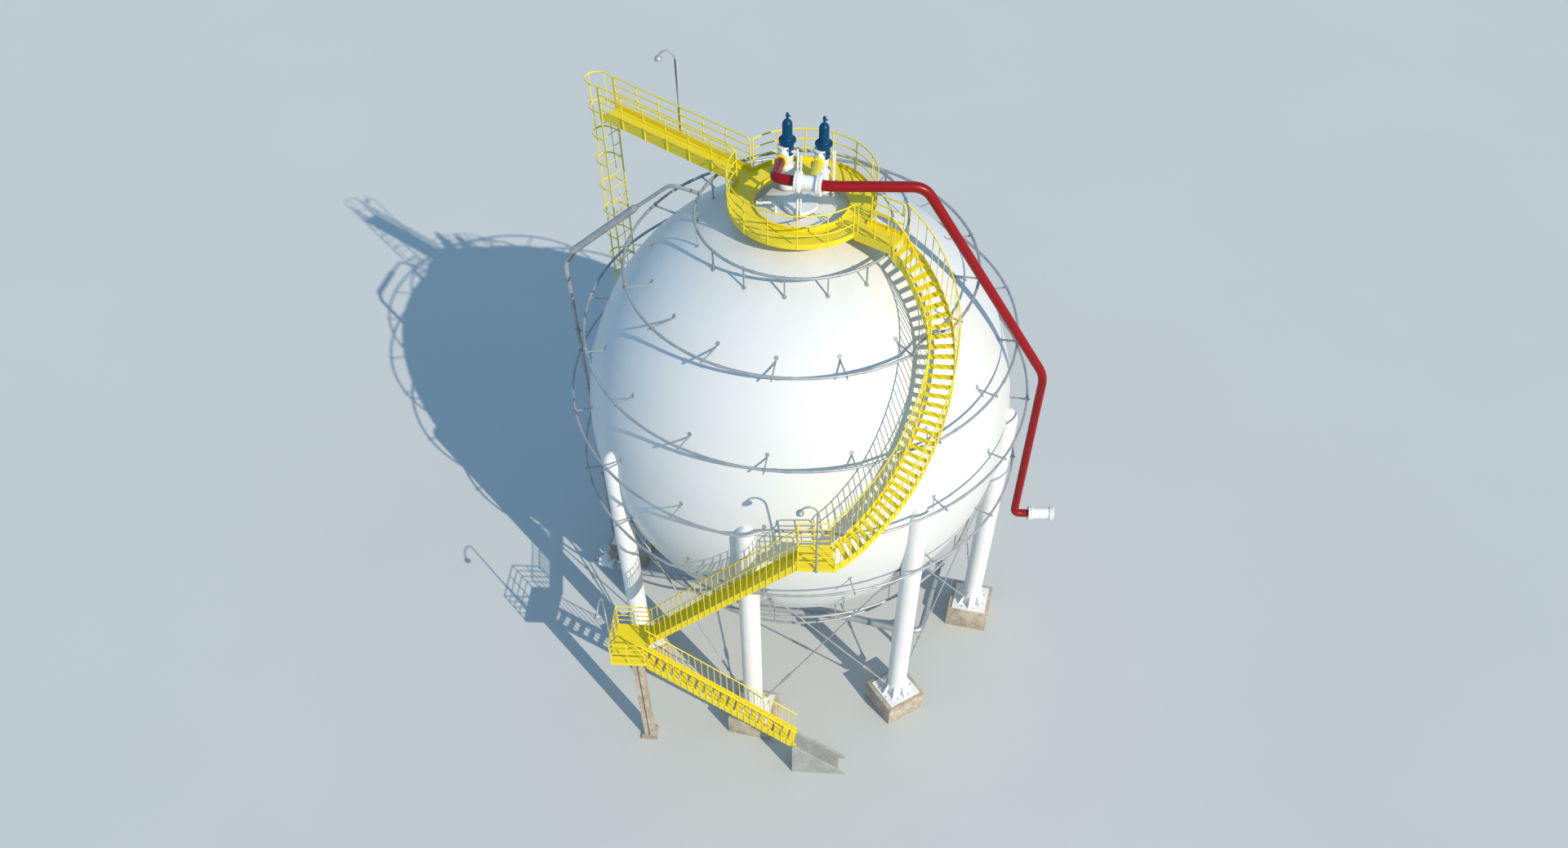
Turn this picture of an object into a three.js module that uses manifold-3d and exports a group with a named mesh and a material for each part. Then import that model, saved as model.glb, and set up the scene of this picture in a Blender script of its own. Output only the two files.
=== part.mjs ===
// Spherical gas tank on eight columns, with its stairs, rings, relief valves and pipes.
// Millimetres, +Z up, ground at z = 0, the ball's centre on the Z axis.
import * as THREE from 'three';
import { mergeVertices } from 'three/addons/utils/BufferGeometryUtils.js';
import Module from 'manifold-3d';

const wasm = await Module();
wasm.setup();
const { Manifold } = wasm;

// Sizes.
const GAP = 0.3;
const SINK = 6;

const BALL_RADIUS = 7850;
const BALL_CENTRE = 10450;
const SHELL_WALL = 40;
const SHELL_SLICES = 36;
const CAP_LATITUDE = 50;

const COLUMN_COUNT = 8;
const COLUMN_FIRST = -12.95;
const COLUMN_CIRCLE = 7800;
const COLUMN_RADIUS = 390;
const COLUMN_SHOULDER = 11100;
const COLUMN_TOP = 11580;
const COLUMN_SIDES = 12;

const FOOTING_TOP = 955;
const FOOTING_SIDE = 1752;
const BASE_PLATE_SIDE = 1440;
const BASE_PLATE_THICK = 50;

const BRACE_TOP = 8230;
const BRACE_FOOT = 1560;
const BRACE_TOP_REACH = 520;
const BRACE_FOOT_REACH = 560;
const BRACE_RADIUS = 30;
const BRACE_SIDES = 4;

const RING_PIPE = 68;
const RING_SIDES = 4;
const RING_STEPS = 32;
const RING_BRACKETS = 8;
const BRACKET_FIRST = -8.4;
const BRACKET_BAR = 44;

const PLATFORM_RADIUS = 2400;
const PLATFORM_HOLE = 1554;
const PLATFORM_SIDES = 24;
const PLATFORM_LINE = 2398;
const PLATFORM_LEG = 90;
const PLATFORM_LEG_CIRCLE = 1800;
const PLATFORM_LEG_FOOT = 17900;
const PLATFORM_LEGS = 8;
const DOOR_HALF = 350;
const BRIDGE_DOOR = 52;
const DECK_TOP = 18500;
const DECK_UNDER = 18420;
const RAIL_BAR = 48;
const RAIL_POST = 44;
const RAIL_LEVELS = [1046, 720, 390];
const POST_SINK = 30;
const TOE_HEIGHT = 105;
const TOE_THICK = 16;

const WALKWAY_AZIMUTH = -127.65;
const WALKWAY_HALF = 372;
const WALKWAY_END = 8449.7;
const WALKWAY_LINE = 386;
const WALKWAY_DEPTH = 110;
const WALKWAY_LEVELS = [1046, 790, 530, 280];
const WALKWAY_TOE = 160;

const LADDER_INNER = 8450;
const LADDER_HALF = 376;
const LADDER_DEPTH = 65;
const LADDER_STILE = 24;
const LADDER_TOP = DECK_TOP + WALKWAY_LEVELS[0];
const RUNG = 26;
const RUNG_STEP = 480;
const CAGE_CENTRE = 8875;
const CAGE_BAND = 22;
const CAGE_BAND_HEIGHT = 50;
const CAGE_UPRIGHT = 28;
const CAGE_FIRST = 2380;
const CAGE_LAST = 17660;
const CAGE_STEP = 1910;

const STAIR_HALF = 410;
const STAIR_TREAD = 0.72;
const FLIGHT_TREAD = 0.8;
const TREAD_THICK = 36;
const BALUSTER = 34;
const STRINGER = 30;

const MIDDLE_DECK = 11600;
const LOWER_DECK = 5120;
const STEPS_TOP = 1680;

// Outlines of the two landings in plan, anticlockwise from the near left corner.
const MIDDLE_OUTLINE = [[-30, -9435], [1240, -9470], [1110, -8450], [-30, -8480]];
const LOWER_OUTLINE = [[-7040, -8550], [-5720, -8600], [-5620, -6720], [-6940, -6660]];

// Finishes.
const COLOURS = {
  shell: [0xe9eced, 0.55, 0.0],
  column: [0xe6e9ea, 0.5, 0.0],
  yellow: [0xe6cf1e, 0.45, 0.0],
  red: [0x8f1a1f, 0.35, 0.0],
  white: [0xdfe3e5, 0.4, 0.0],
  galvanised: [0x8d9499, 0.45, 0.8],
  footing: [0xb7a588, 0.9, 0.0],
  concrete: [0x9a9c9a, 0.9, 0.0],
};

const group = new THREE.Group();
group.name = 'spherical_gas_tank';

// Solid helpers.
/** A closed solid from one of the geometry classes. */
function solid(geometry, matrix = new THREE.Matrix4()) {
  const plain = geometry.index ? geometry.toNonIndexed() : geometry.clone();
  plain.applyMatrix4(matrix);
  plain.deleteAttribute('normal');
  plain.deleteAttribute('uv');
  const merged = mergeVertices(plain, 1e-3);
  const index = Array.from(merged.index.array);
  const kept = [];
  for (let i = 0; i < index.length; i += 3) {
    const [a, b, c] = index.slice(i, i + 3);
    if (a !== b && b !== c && c !== a) kept.push(a, b, c);
  }
  return new Manifold(new wasm.Mesh({
    numProp: 3,
    vertProperties: Float32Array.from(merged.attributes.position.array),
    triVerts: Uint32Array.from(kept),
  }));
}

function join(parts) {
  return Manifold.union(parts);
}

/** The largest connected body of a solid. */
function largest(shape) {
  return shape.decompose().reduce((best, one) => (one.volume() > best.volume() ? one : best));
}

/** Puts a solid into the group as a named piece with its own finish. */
function piece(name, shape, finish) {
  const mesh = largest(shape).getMesh();
  const geometry = new THREE.BufferGeometry();
  geometry.setAttribute('position', new THREE.BufferAttribute(Float32Array.from(mesh.vertProperties), 3));
  geometry.setIndex(Array.from(mesh.triVerts));
  geometry.computeVertexNormals();
  const [color, roughness, metalness] = COLOURS[finish];
  const material = new THREE.MeshStandardMaterial({ color, roughness, metalness, flatShading: true });
  const node = new THREE.Mesh(geometry, material);
  node.name = name;
  group.add(node);
}

// Placing helpers.
const UP = new THREE.Vector3(0, 0, 1);

function vec(x, y, z) {
  return new THREE.Vector3(x, y, z);
}

/** A point at a radius and a height, its azimuth counted from the front toward the right. */
function polar(radius, azimuth, z) {
  const angle = THREE.MathUtils.degToRad(azimuth);
  return vec(radius * Math.sin(angle), -radius * Math.cos(angle), z);
}

/** A level frame with its X axis along a heading, seated at a point. */
function levelFrame(origin, heading) {
  const along = vec(heading.x, heading.y, 0).normalize();
  const left = vec(-along.y, along.x, 0);
  return new THREE.Matrix4().makeBasis(along, left, UP).setPosition(origin);
}

/** A box between two opposite corners, in a frame. */
function block(low, high, frame = new THREE.Matrix4()) {
  const size = high.clone().sub(low);
  const middle = high.clone().add(low).multiplyScalar(0.5);
  const geometry = new THREE.BoxGeometry(size.x, size.y, size.z);
  geometry.translate(middle.x, middle.y, middle.z);
  return solid(geometry, frame);
}

/** A square bar from one point to another; facing sets how a plumb bar is turned. */
function bar(from, to, width, height = width, facing = vec(1, 0, 0)) {
  const along = to.clone().sub(from);
  const length = along.length();
  along.normalize();
  const reference = Math.abs(along.z) > 0.999 ? facing : UP;
  const side = reference.clone().cross(along).normalize();
  const rise = along.clone().cross(side);
  const middle = from.clone().add(to).multiplyScalar(0.5);
  const matrix = new THREE.Matrix4().makeBasis(side, rise, along).setPosition(middle);
  return solid(new THREE.BoxGeometry(width, height, length), matrix);
}

/** A round bar from one point to another. */
function rod(from, to, radius, sides = 8, farRadius = radius) {
  const along = to.clone().sub(from);
  const middle = from.clone().add(to).multiplyScalar(0.5);
  const turn = new THREE.Quaternion().setFromUnitVectors(vec(0, 1, 0), along.clone().normalize());
  const matrix = new THREE.Matrix4().compose(middle, turn, vec(1, 1, 1));
  return solid(new THREE.CylinderGeometry(farRadius, radius, along.length(), sides), matrix);
}

/** A disc of a given thickness centred on a point. */
function disc(centre, axis, radius, thick, sides = 16) {
  const half = axis.clone().normalize().multiplyScalar(thick / 2);
  return rod(centre.clone().sub(half), centre.clone().add(half), radius, sides);
}

/** A turned solid on the Z axis; the profile lists radius and height. */
function turned(profile, segments, start = 0, height = 0) {
  const points = profile.map(([radius, z]) => new THREE.Vector2(radius, z));
  const geometry = new THREE.LatheGeometry(points, segments, THREE.MathUtils.degToRad(start));
  geometry.rotateX(Math.PI / 2);
  geometry.translate(0, 0, height);
  return solid(geometry);
}

/** A flat outline raised from one height to another. */
function prism(outline, low, high) {
  const shape = new THREE.Shape(outline.map(([x, y]) => new THREE.Vector2(x, y)));
  const geometry = new THREE.ExtrudeGeometry(shape, { depth: high - low, bevelEnabled: false });
  geometry.translate(0, 0, low);
  return solid(geometry);
}

/** An upright plate whose side outline lists distance along the frame and height. */
function sidePlate(outline, offset, thick, frame) {
  const shape = new THREE.Shape(outline.map(([x, z]) => new THREE.Vector2(x, z)));
  const geometry = new THREE.ExtrudeGeometry(shape, { depth: thick, bevelEnabled: false });
  geometry.translate(0, 0, -thick / 2);
  geometry.rotateX(Math.PI / 2);
  geometry.translate(0, offset, 0);
  return solid(geometry, frame);
}

/** A convex outline grown outward by a margin. */
function grown(outline, margin) {
  const edges = outline.map(([x, y], i) => {
    const [nx, ny] = outline[(i + 1) % outline.length];
    const length = Math.hypot(nx - x, ny - y);
    const along = [(nx - x) / length, (ny - y) / length];
    return { at: [x + along[1] * margin, y - along[0] * margin], along };
  });
  return edges.map((edge, i) => {
    const last = edges[(i + edges.length - 1) % edges.length];
    const cross = last.along[0] * edge.along[1] - last.along[1] * edge.along[0];
    const dx = edge.at[0] - last.at[0];
    const dy = edge.at[1] - last.at[1];
    const reach = (dx * edge.along[1] - dy * edge.along[0]) / cross;
    return [last.at[0] + last.along[0] * reach, last.at[1] + last.along[1] * reach];
  });
}

/** A route through set points; plumb sections stay upright, others are carried along. */
class Route extends THREE.Curve {
  constructor(points, plumb = false, headings = {}) {
    super();
    this.points = points;
    this.plumb = plumb;
    this.headings = headings;
  }

  getPoint(t) {
    return this.points[Math.round(t * (this.points.length - 1))].clone();
  }

  getSpacedPoints() {
    return this.points;
  }

  headingAt(i) {
    const last = this.points.length - 1;
    if (i === 0 && this.headings.start) return this.headings.start.clone();
    if (i === last && this.headings.end) return this.headings.end.clone();
    const before = this.points[i].clone().sub(this.points[Math.max(i - 1, 0)]).normalize();
    const after = this.points[Math.min(i + 1, last)].clone().sub(this.points[i]).normalize();
    return before.add(after).normalize();
  }

  computeFrenetFrames() {
    const tangents = this.points.map((_, i) => this.headingAt(i));
    const normals = [];
    const binormals = [];
    let side = UP.clone().cross(tangents[0]);
    if (side.length() < 1e-3) side = vec(0, 1, 0).cross(tangents[0]);
    side.normalize();
    tangents.forEach((along, i) => {
      if (this.plumb) {
        side = UP.clone().cross(along).normalize();
        binormals.push(UP.clone());
      } else {
        if (i > 0) side.applyQuaternion(new THREE.Quaternion().setFromUnitVectors(tangents[i - 1], along));
        binormals.push(along.clone().cross(side).normalize());
      }
      normals.push(side.clone());
    });
    return { tangents, normals, binormals };
  }
}

function polygon(radius, sides) {
  const turn = Math.PI / sides;
  return Array.from({ length: sides }, (_, i) => {
    const angle = turn + (2 * Math.PI * i) / sides;
    return new THREE.Vector2(radius * Math.cos(angle), radius * Math.sin(angle));
  });
}

/** A pipe of few sides along a route. */
function pipe(points, radius, sides = 8, headings = {}) {
  const shape = new THREE.Shape(polygon(radius, sides));
  const route = new Route(points, false, headings);
  return solid(new THREE.ExtrudeGeometry(shape, { steps: points.length - 1, extrudePath: route }));
}

/** An upright strip along a route; low and high are heights from the route. */
function strip(points, thick, low, high, headings = {}) {
  const half = thick / 2;
  const corners = [[-half, low], [half, low], [half, high], [-half, high]];
  const shape = new THREE.Shape(corners.map(([x, y]) => new THREE.Vector2(x, y)));
  const route = new Route(points, true, headings);
  return solid(new THREE.ExtrudeGeometry(shape, { steps: points.length - 1, extrudePath: route }));
}

/** The same points with each inner corner rounded. */
function rounded(points, reach, cuts = 4) {
  const out = [points[0]];
  for (let i = 1; i < points.length - 1; i += 1) {
    const back = points[i - 1].clone().sub(points[i]);
    const on = points[i + 1].clone().sub(points[i]);
    const take = Math.min(reach, back.length() * 0.48, on.length() * 0.48);
    const start = points[i].clone().add(back.setLength(take));
    const end = points[i].clone().add(on.setLength(take));
    out.push(...new THREE.QuadraticBezierCurve3(start, points[i], end).getPoints(cuts));
  }
  out.push(points[points.length - 1]);
  return out;
}

/** Points of a level arc between two azimuths. */
function arc(radius, from, to, z, count) {
  return Array.from({ length: count + 1 }, (_, i) => polar(radius, from + ((to - from) * i) / count, z));
}

// The ball.
function shellArc(radius, from, to, steps) {
  return Array.from({ length: steps + 1 }, (_, i) => {
    const latitude = THREE.MathUtils.degToRad(from + ((to - from) * i) / steps);
    const level = Math.abs(from + ((to - from) * i) / steps) === 90 ? 0 : radius * Math.cos(latitude);
    return [level, radius * Math.sin(latitude)];
  });
}

function ball(grow) {
  return turned(shellArc(BALL_RADIUS + grow, -90, 90, 18), SHELL_SLICES, 0, BALL_CENTRE);
}

const ballCutter = ball(GAP);

/** Takes the ball and its seating gap away from a solid. */
function offBall(shape) {
  return shape.subtract(ballCutter);
}

function shellNodes() {
  const inner = BALL_RADIUS - SHELL_WALL;
  const beltLatitude = CAP_LATITUDE - THREE.MathUtils.radToDeg(GAP / inner);
  const top = [
    ...shellArc(inner, 90, CAP_LATITUDE, 2),
    ...shellArc(BALL_RADIUS, CAP_LATITUDE, 90, 4),
  ];
  const belt = [
    ...shellArc(BALL_RADIUS, -beltLatitude, beltLatitude, 10),
    ...shellArc(inner, beltLatitude, -beltLatitude, 5),
  ];
  belt.push(belt[0]);
  const bottom = [
    ...shellArc(BALL_RADIUS, -90, -CAP_LATITUDE, 4),
    ...shellArc(inner, -CAP_LATITUDE, -90, 2),
  ];
  piece('shell_top_cap', turned(top, SHELL_SLICES, 0, BALL_CENTRE), 'shell');
  piece('shell_belt', turned(belt, SHELL_SLICES, 0, BALL_CENTRE), 'shell');
  piece('shell_bottom_cap', turned(bottom, SHELL_SLICES, 0, BALL_CENTRE), 'shell');
}

// Columns, footings, braces.
function columnAzimuth(index) {
  return COLUMN_FIRST + (360 / COLUMN_COUNT) * index;
}

function columnAxis(index, z) {
  return polar(COLUMN_CIRCLE, columnAzimuth(index), z);
}

/** The round shaft of a column with its rounded head, grown by a margin. */
function shaft(index, grow, low) {
  const radius = COLUMN_RADIUS + grow;
  const rise = COLUMN_TOP - COLUMN_SHOULDER;
  const profile = [
    [0, low],
    [radius, low],
    [radius, COLUMN_SHOULDER],
    [radius * 0.87, COLUMN_SHOULDER + rise * 0.5],
    [radius * 0.5, COLUMN_SHOULDER + rise * 0.87],
    [0, COLUMN_TOP + grow],
  ];
  const axis = columnAxis(index, 0);
  return turned(profile, COLUMN_SIDES, columnAzimuth(index)).translate([axis.x, axis.y, 0]);
}

function columnNode(index) {
  const frame = levelFrame(columnAxis(index, 0), polar(1, columnAzimuth(index), 0));
  const half = BASE_PLATE_SIDE / 2;
  const plateTop = FOOTING_TOP + BASE_PLATE_THICK;
  const parts = [
    shaft(index, 0, plateTop - SINK),
    block(vec(-half, -half, FOOTING_TOP), vec(half, half, plateTop), frame),
  ];
  piece(`column_${index + 1}`, offBall(join(parts)), 'column');
}

function footingNode(index) {
  const frame = levelFrame(columnAxis(index, 0), polar(1, columnAzimuth(index), 0));
  const half = FOOTING_SIDE / 2;
  piece(`footing_${index + 1}`, block(vec(-half, -half, 0), vec(half, half, FOOTING_TOP), frame), 'footing');
}

/** Two crossing tie rods between a column and the next, with their end plates. */
function braceNode(index) {
  const next = (index + 1) % COLUMN_COUNT;
  const from = columnAxis(index, 0);
  const to = columnAxis(next, 0);
  const along = to.clone().sub(from).normalize();
  const frame = levelFrame(from, along);
  const span = to.distanceTo(from);
  const parts = [];
  for (const side of [0, 1]) {
    const place = (reach, z) => {
      const x = side ? span - reach : reach;
      return vec(x, 0, z).applyMatrix4(frame);
    };
    const top = place(BRACE_TOP_REACH, BRACE_TOP);
    const foot = place(span - BRACE_FOOT_REACH, BRACE_FOOT);
    parts.push(rod(top, foot, BRACE_RADIUS, BRACE_SIDES));
    const lug = (inner, outer, low, high) => {
      const ends = side ? [span - outer, span - inner] : [inner, outer];
      return block(vec(ends[0], -14, low), vec(ends[1], 14, high), frame);
    };
    const farLug = (inner, outer, low, high) => {
      const ends = side ? [inner, outer] : [span - outer, span - inner];
      return block(vec(ends[0], -14, low), vec(ends[1], 14, high), frame);
    };
    parts.push(lug(340, BRACE_TOP_REACH + 60, BRACE_TOP - 130, BRACE_TOP + 90));
    parts.push(farLug(340, BRACE_FOOT_REACH + 60, BRACE_FOOT - 80, BRACE_FOOT + 130));
  }
  const cut = join([shaft(index, GAP, 0), shaft(next, GAP, 0), ballCutter]);
  piece(`brace_${index + 1}`, join(parts).subtract(cut), 'galvanised');
}

// Spray rings.
const RINGS = [
  { name: 'a', radius: 3485, z: 18164, hold: 'plumb' },
  { name: 'b', radius: 5982, z: 16439, hold: 'level' },
  { name: 'c', radius: 7624, z: 14127, hold: 'level' },
  { name: 'd', radius: 8374, z: 11683, hold: 'level' },
  { name: 'e', radius: 8312, z: 8850, hold: 'level' },
  { name: 'f', radius: 7120, z: 6200, hold: 'plumb' },
  { name: 'g', radius: 6089, z: 4571, hold: 'plumb' },
];

/** Where four of the rings go round a stair or a landing: azimuth, radius and drop. */
const RING_BENDS = {
  b: [[36, 5982, 0], [39.5, 5790, 0], [42, 5670, 0], [47, 5670, 0], [50, 5790, 0], [53, 5982, 0]],
  c: [[18, 7624, 0], [22, 7530, 0], [26.6, 7480, 0], [30.5, 7530, 0], [34, 7624, 0]],
  d: [
    [-14, 8374, 0], [-11.2, 8250, 0], [-9.2, 8030, 0], [-6.6, 7930, 0],
    [6, 7930, 0], [9, 8060, 0], [11.5, 8300, 0], [14.1, 8374, 0],
  ],
  e: [
    [-34, 8312, 0], [-29, 8160, 0], [-25, 8080, 0], [-18, 8080, 60],
    [-15.6, 8090, 130], [-14.4, 8215, 130], [-12.9, 8262, 130], [-8.4, 8312, 0],
  ],
};

function ringProfile(radius, grow) {
  const points = polygon(RING_PIPE + grow, RING_SIDES).map((p) => [radius + p.x, p.y]);
  points.push(points[0]);
  return points;
}

/** A ring of pipe as one turned solid, or as two bent halves where it goes round something. */
function ringPipe(ring, grow = 0) {
  const bends = RING_BENDS[ring.name];
  if (!bends) return turned(ringProfile(ring.radius, grow), RING_STEPS, BRACKET_FIRST, ring.z);
  const first = bends[0][0];
  const last = bends[bends.length - 1][0];
  const rest = 360 + first - last;
  const steps = Math.round(rest / 11.25);
  const bent = bends.map(([azimuth, radius, drop]) => polar(radius, azimuth, ring.z - drop));
  const open = arc(ring.radius, last, last + rest, ring.z, steps);
  const flat = (azimuth) => polar(1, azimuth + 90, 0);
  const ends = { start: flat(first), end: flat(last) };
  return join([
    pipe(bent, RING_PIPE + grow, RING_SIDES, ends),
    pipe(open, RING_PIPE + grow, RING_SIDES, { start: ends.end, end: ends.start }),
  ]);
}

/** The radius of a ring at an azimuth, bends included. */
function ringRadius(ring, azimuth) {
  const bends = RING_BENDS[ring.name] || [];
  const turn = ((azimuth + 540) % 360) - 180;
  for (let i = 0; i + 1 < bends.length; i += 1) {
    const [a, ra] = bends[i];
    const [b, rb] = bends[i + 1];
    if (turn >= a && turn <= b) return ra + ((rb - ra) * (turn - a)) / (b - a);
  }
  return ring.radius;
}

function ringBracket(ring, azimuth) {
  const radius = ringRadius(ring, azimuth);
  const facing = polar(1, azimuth, 0);
  if (ring.hold === 'plumb') {
    const above = ring.z > BALL_CENTRE ? 1 : -1;
    const reach = Math.sqrt(BALL_RADIUS ** 2 - radius ** 2);
    const shellZ = BALL_CENTRE + above * (reach - 90);
    const end = ring.z;
    const [low, high] = [Math.min(shellZ, end), Math.max(shellZ, end)];
    return bar(polar(radius, azimuth, low), polar(radius, azimuth, high), BRACKET_BAR, BRACKET_BAR, facing);
  }
  const level = Math.sqrt(BALL_RADIUS ** 2 - (ring.z - BALL_CENTRE) ** 2);
  return bar(polar(level - 90, azimuth, ring.z), polar(radius, azimuth, ring.z), BRACKET_BAR);
}

function ringNode(ring) {
  const parts = [ringPipe(ring)];
  for (let i = 0; i < RING_BRACKETS; i += 1) {
    parts.push(ringBracket(ring, BRACKET_FIRST + (360 / RING_BRACKETS) * i));
  }
  piece(`spray_ring_${ring.name}`, offBall(join(parts)), 'galvanised');
}

const RISER_AZIMUTH = -106;

/** The pipe that feeds the rings, from the ground to the top ring. */
function riserNode() {
  const at = (radius, z) => polar(radius, RISER_AZIMUTH, z);
  const thin = rounded([at(3485, 18164), at(4500, 18300), at(6000, 17122)], 260, 2);
  const thick = [at(5900, 17200), at(8480, 15100)];
  const lower = rounded([at(8300, 15247), at(8880, 14500), at(8880, 0)], 260, 2);
  const parts = [
    pipe(thin, 60, 6),
    pipe(thick, 122, 8),
    pipe(lower, 86, 8),
    disc(at(8880, 20), UP, 190, 40, 8),
  ];
  piece('spray_riser', join(parts).subtract(ringPipe(RINGS[0], GAP)), 'galvanised');
}

// Guard rails.
/** Bars and posts of a straight guard rail in a frame, from one x to another at an offset. */
function straightRail(frame, from, to, offset, { levels, foot, spacing }) {
  const parts = [];
  const at = (x, lift) => vec(x, offset, DECK_TOP + lift).applyMatrix4(frame);
  for (const level of levels) parts.push(bar(at(from, level), at(to, level), RAIL_BAR));
  const bays = Math.max(1, Math.round((to - from) / spacing));
  const facing = vec(1, 0, 0).transformDirection(frame);
  for (let i = 0; i <= bays; i += 1) {
    const x = from + RAIL_BAR / 2 + ((to - from - RAIL_BAR) * i) / bays;
    parts.push(bar(at(x, foot), at(x, levels[0]), RAIL_POST, RAIL_POST, facing));
  }
  return parts;
}

/** Bars and posts of a guard rail along an arc. */
function arcRail(radius, from, to, deck) {
  const steps = Math.max(2, Math.round(Math.abs(to - from) / 16));
  const parts = RAIL_LEVELS.map((level) => (
    strip(arc(radius, from, to, deck + level, steps), RAIL_BAR, -RAIL_BAR / 2, RAIL_BAR / 2)
  ));
  const bays = Math.round(Math.abs(to - from) / 44);
  for (let i = 0; i <= bays; i += 1) {
    const end = (i === 0 ? 0.6 : 0) - (i === bays ? 0.6 : 0);
    const azimuth = from + ((to - from) * i) / bays + end;
    const foot = polar(radius, azimuth, DECK_UNDER);
    const head = polar(radius, azimuth, deck + RAIL_LEVELS[0]);
    parts.push(bar(foot, head, RAIL_POST, RAIL_POST, polar(1, azimuth, 0)));
  }
  return parts;
}

/** Bars and posts of a guard rail through plan points. */
function cornerRail(points, deck, levels) {
  const parts = [];
  for (const level of levels) {
    const route = points.map(([x, y]) => vec(x, y, deck + level));
    for (let i = 0; i + 1 < route.length; i += 1) {
      const step = route[i + 1].clone().sub(route[i]).setLength(RAIL_BAR / 2);
      parts.push(bar(route[i].clone().sub(step), route[i + 1].clone().add(step), RAIL_BAR));
    }
  }
  for (let i = 0; i + 1 < points.length; i += 1) {
    const [a, b] = [vec(...points[i], 0), vec(...points[i + 1], 0)];
    const facing = b.clone().sub(a).normalize();
    const bays = Math.max(1, Math.round(a.distanceTo(b) / 1300));
    for (let j = i === 0 ? 0 : 1; j <= bays; j += 1) {
      const foot = a.clone().lerp(b, j / bays);
      foot.z = deck - POST_SINK;
      const head = foot.clone().setZ(deck + levels[0]);
      parts.push(bar(foot, head, RAIL_POST, RAIL_POST, facing));
    }
  }
  return parts;
}

// Top platform and walkway.
const WALKWAY_GAP = [-137.9, -117.4];
const BRIDGE_GAP = [42.5, 66];

/** The room that the platform takes, from well below its deck to above its rails. */
function platformRoom() {
  const radius = PLATFORM_RADIUS + GAP;
  const low = DECK_UNDER - 400;
  const high = DECK_TOP + 1400;
  return turned([[0, low], [radius, low], [radius, high], [0, high]], PLATFORM_SIDES);
}

function platformNode() {
  const deck = turned([
    [PLATFORM_HOLE, DECK_UNDER],
    [PLATFORM_RADIUS, DECK_UNDER],
    [PLATFORM_RADIUS, DECK_TOP + TOE_HEIGHT],
    [PLATFORM_RADIUS - TOE_THICK, DECK_TOP + TOE_HEIGHT],
    [PLATFORM_RADIUS - TOE_THICK, DECK_TOP],
    [PLATFORM_HOLE + TOE_THICK, DECK_TOP],
    [PLATFORM_HOLE + TOE_THICK, DECK_TOP + TOE_HEIGHT],
    [PLATFORM_HOLE, DECK_TOP + TOE_HEIGHT],
    [PLATFORM_HOLE, DECK_UNDER],
  ], PLATFORM_SIDES);
  const doors = [WALKWAY_AZIMUTH, BRIDGE_DOOR].map((azimuth) => {
    const frame = levelFrame(vec(0, 0, 0), polar(1, azimuth, 0));
    const low = vec(PLATFORM_RADIUS - 400, -DOOR_HALF, DECK_TOP);
    const high = vec(PLATFORM_RADIUS + 200, DOOR_HALF, DECK_TOP + TOE_HEIGHT + SINK);
    return block(low, high, frame);
  });
  const parts = [deck.subtract(join(doors))];
  for (let i = 0; i < PLATFORM_LEGS; i += 1) {
    const azimuth = ((i + 0.5) * 360) / PLATFORM_LEGS;
    const foot = polar(PLATFORM_LEG_CIRCLE, azimuth, PLATFORM_LEG_FOOT);
    const head = polar(PLATFORM_LEG_CIRCLE, azimuth, DECK_UNDER + SINK);
    parts.push(bar(foot, head, PLATFORM_LEG, PLATFORM_LEG, polar(1, azimuth, 0)));
  }
  parts.push(...arcRail(PLATFORM_LINE, WALKWAY_GAP[1], BRIDGE_GAP[0], DECK_TOP));
  parts.push(...arcRail(PLATFORM_LINE, BRIDGE_GAP[1], WALKWAY_GAP[0] + 360, DECK_TOP));
  piece('top_platform', offBall(join(parts)), 'yellow');
}

const walkwayFrame = levelFrame(vec(0, 0, 0), polar(1, WALKWAY_AZIMUTH, 0));

function walkwayNode() {
  const start = PLATFORM_RADIUS - 120;
  const under = DECK_TOP - WALKWAY_DEPTH;
  const parts = [
    block(vec(start, -WALKWAY_HALF, under), vec(WALKWAY_END, WALKWAY_HALF, DECK_TOP), walkwayFrame),
  ];
  const rails = { levels: WALKWAY_LEVELS, foot: -WALKWAY_DEPTH, spacing: 2000 };
  for (const side of [-1, 1]) {
    const [a, b] = [side * (WALKWAY_HALF - TOE_THICK), side * WALKWAY_HALF].sort((p, q) => p - q);
    const low = vec(start, a, DECK_TOP - SINK);
    const high = vec(WALKWAY_END, b, DECK_TOP + WALKWAY_TOE);
    parts.push(block(low, high, walkwayFrame));
    parts.push(...straightRail(walkwayFrame, PLATFORM_RADIUS + 50, WALKWAY_END, side * WALKWAY_LINE, rails));
  }
  piece('walkway', join(parts).subtract(platformRoom()), 'yellow');
}

function ladderNode() {
  const parts = [];
  const half = LADDER_STILE / 2;
  for (const side of [-1, 1]) {
    const y = side * LADDER_HALF;
    const low = vec(LADDER_INNER, y - half, 0);
    const high = vec(LADDER_INNER + LADDER_DEPTH, y + half, LADDER_TOP);
    parts.push(block(low, high, walkwayFrame));
  }
  for (let z = RUNG_STEP; z < DECK_TOP; z += RUNG_STEP) {
    const at = (y) => vec(LADDER_INNER + LADDER_DEPTH / 2, y, z).applyMatrix4(walkwayFrame);
    parts.push(bar(at(-LADDER_HALF), at(LADDER_HALF), RUNG));
  }
  piece('ladder', join(parts), 'yellow');
}

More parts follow.
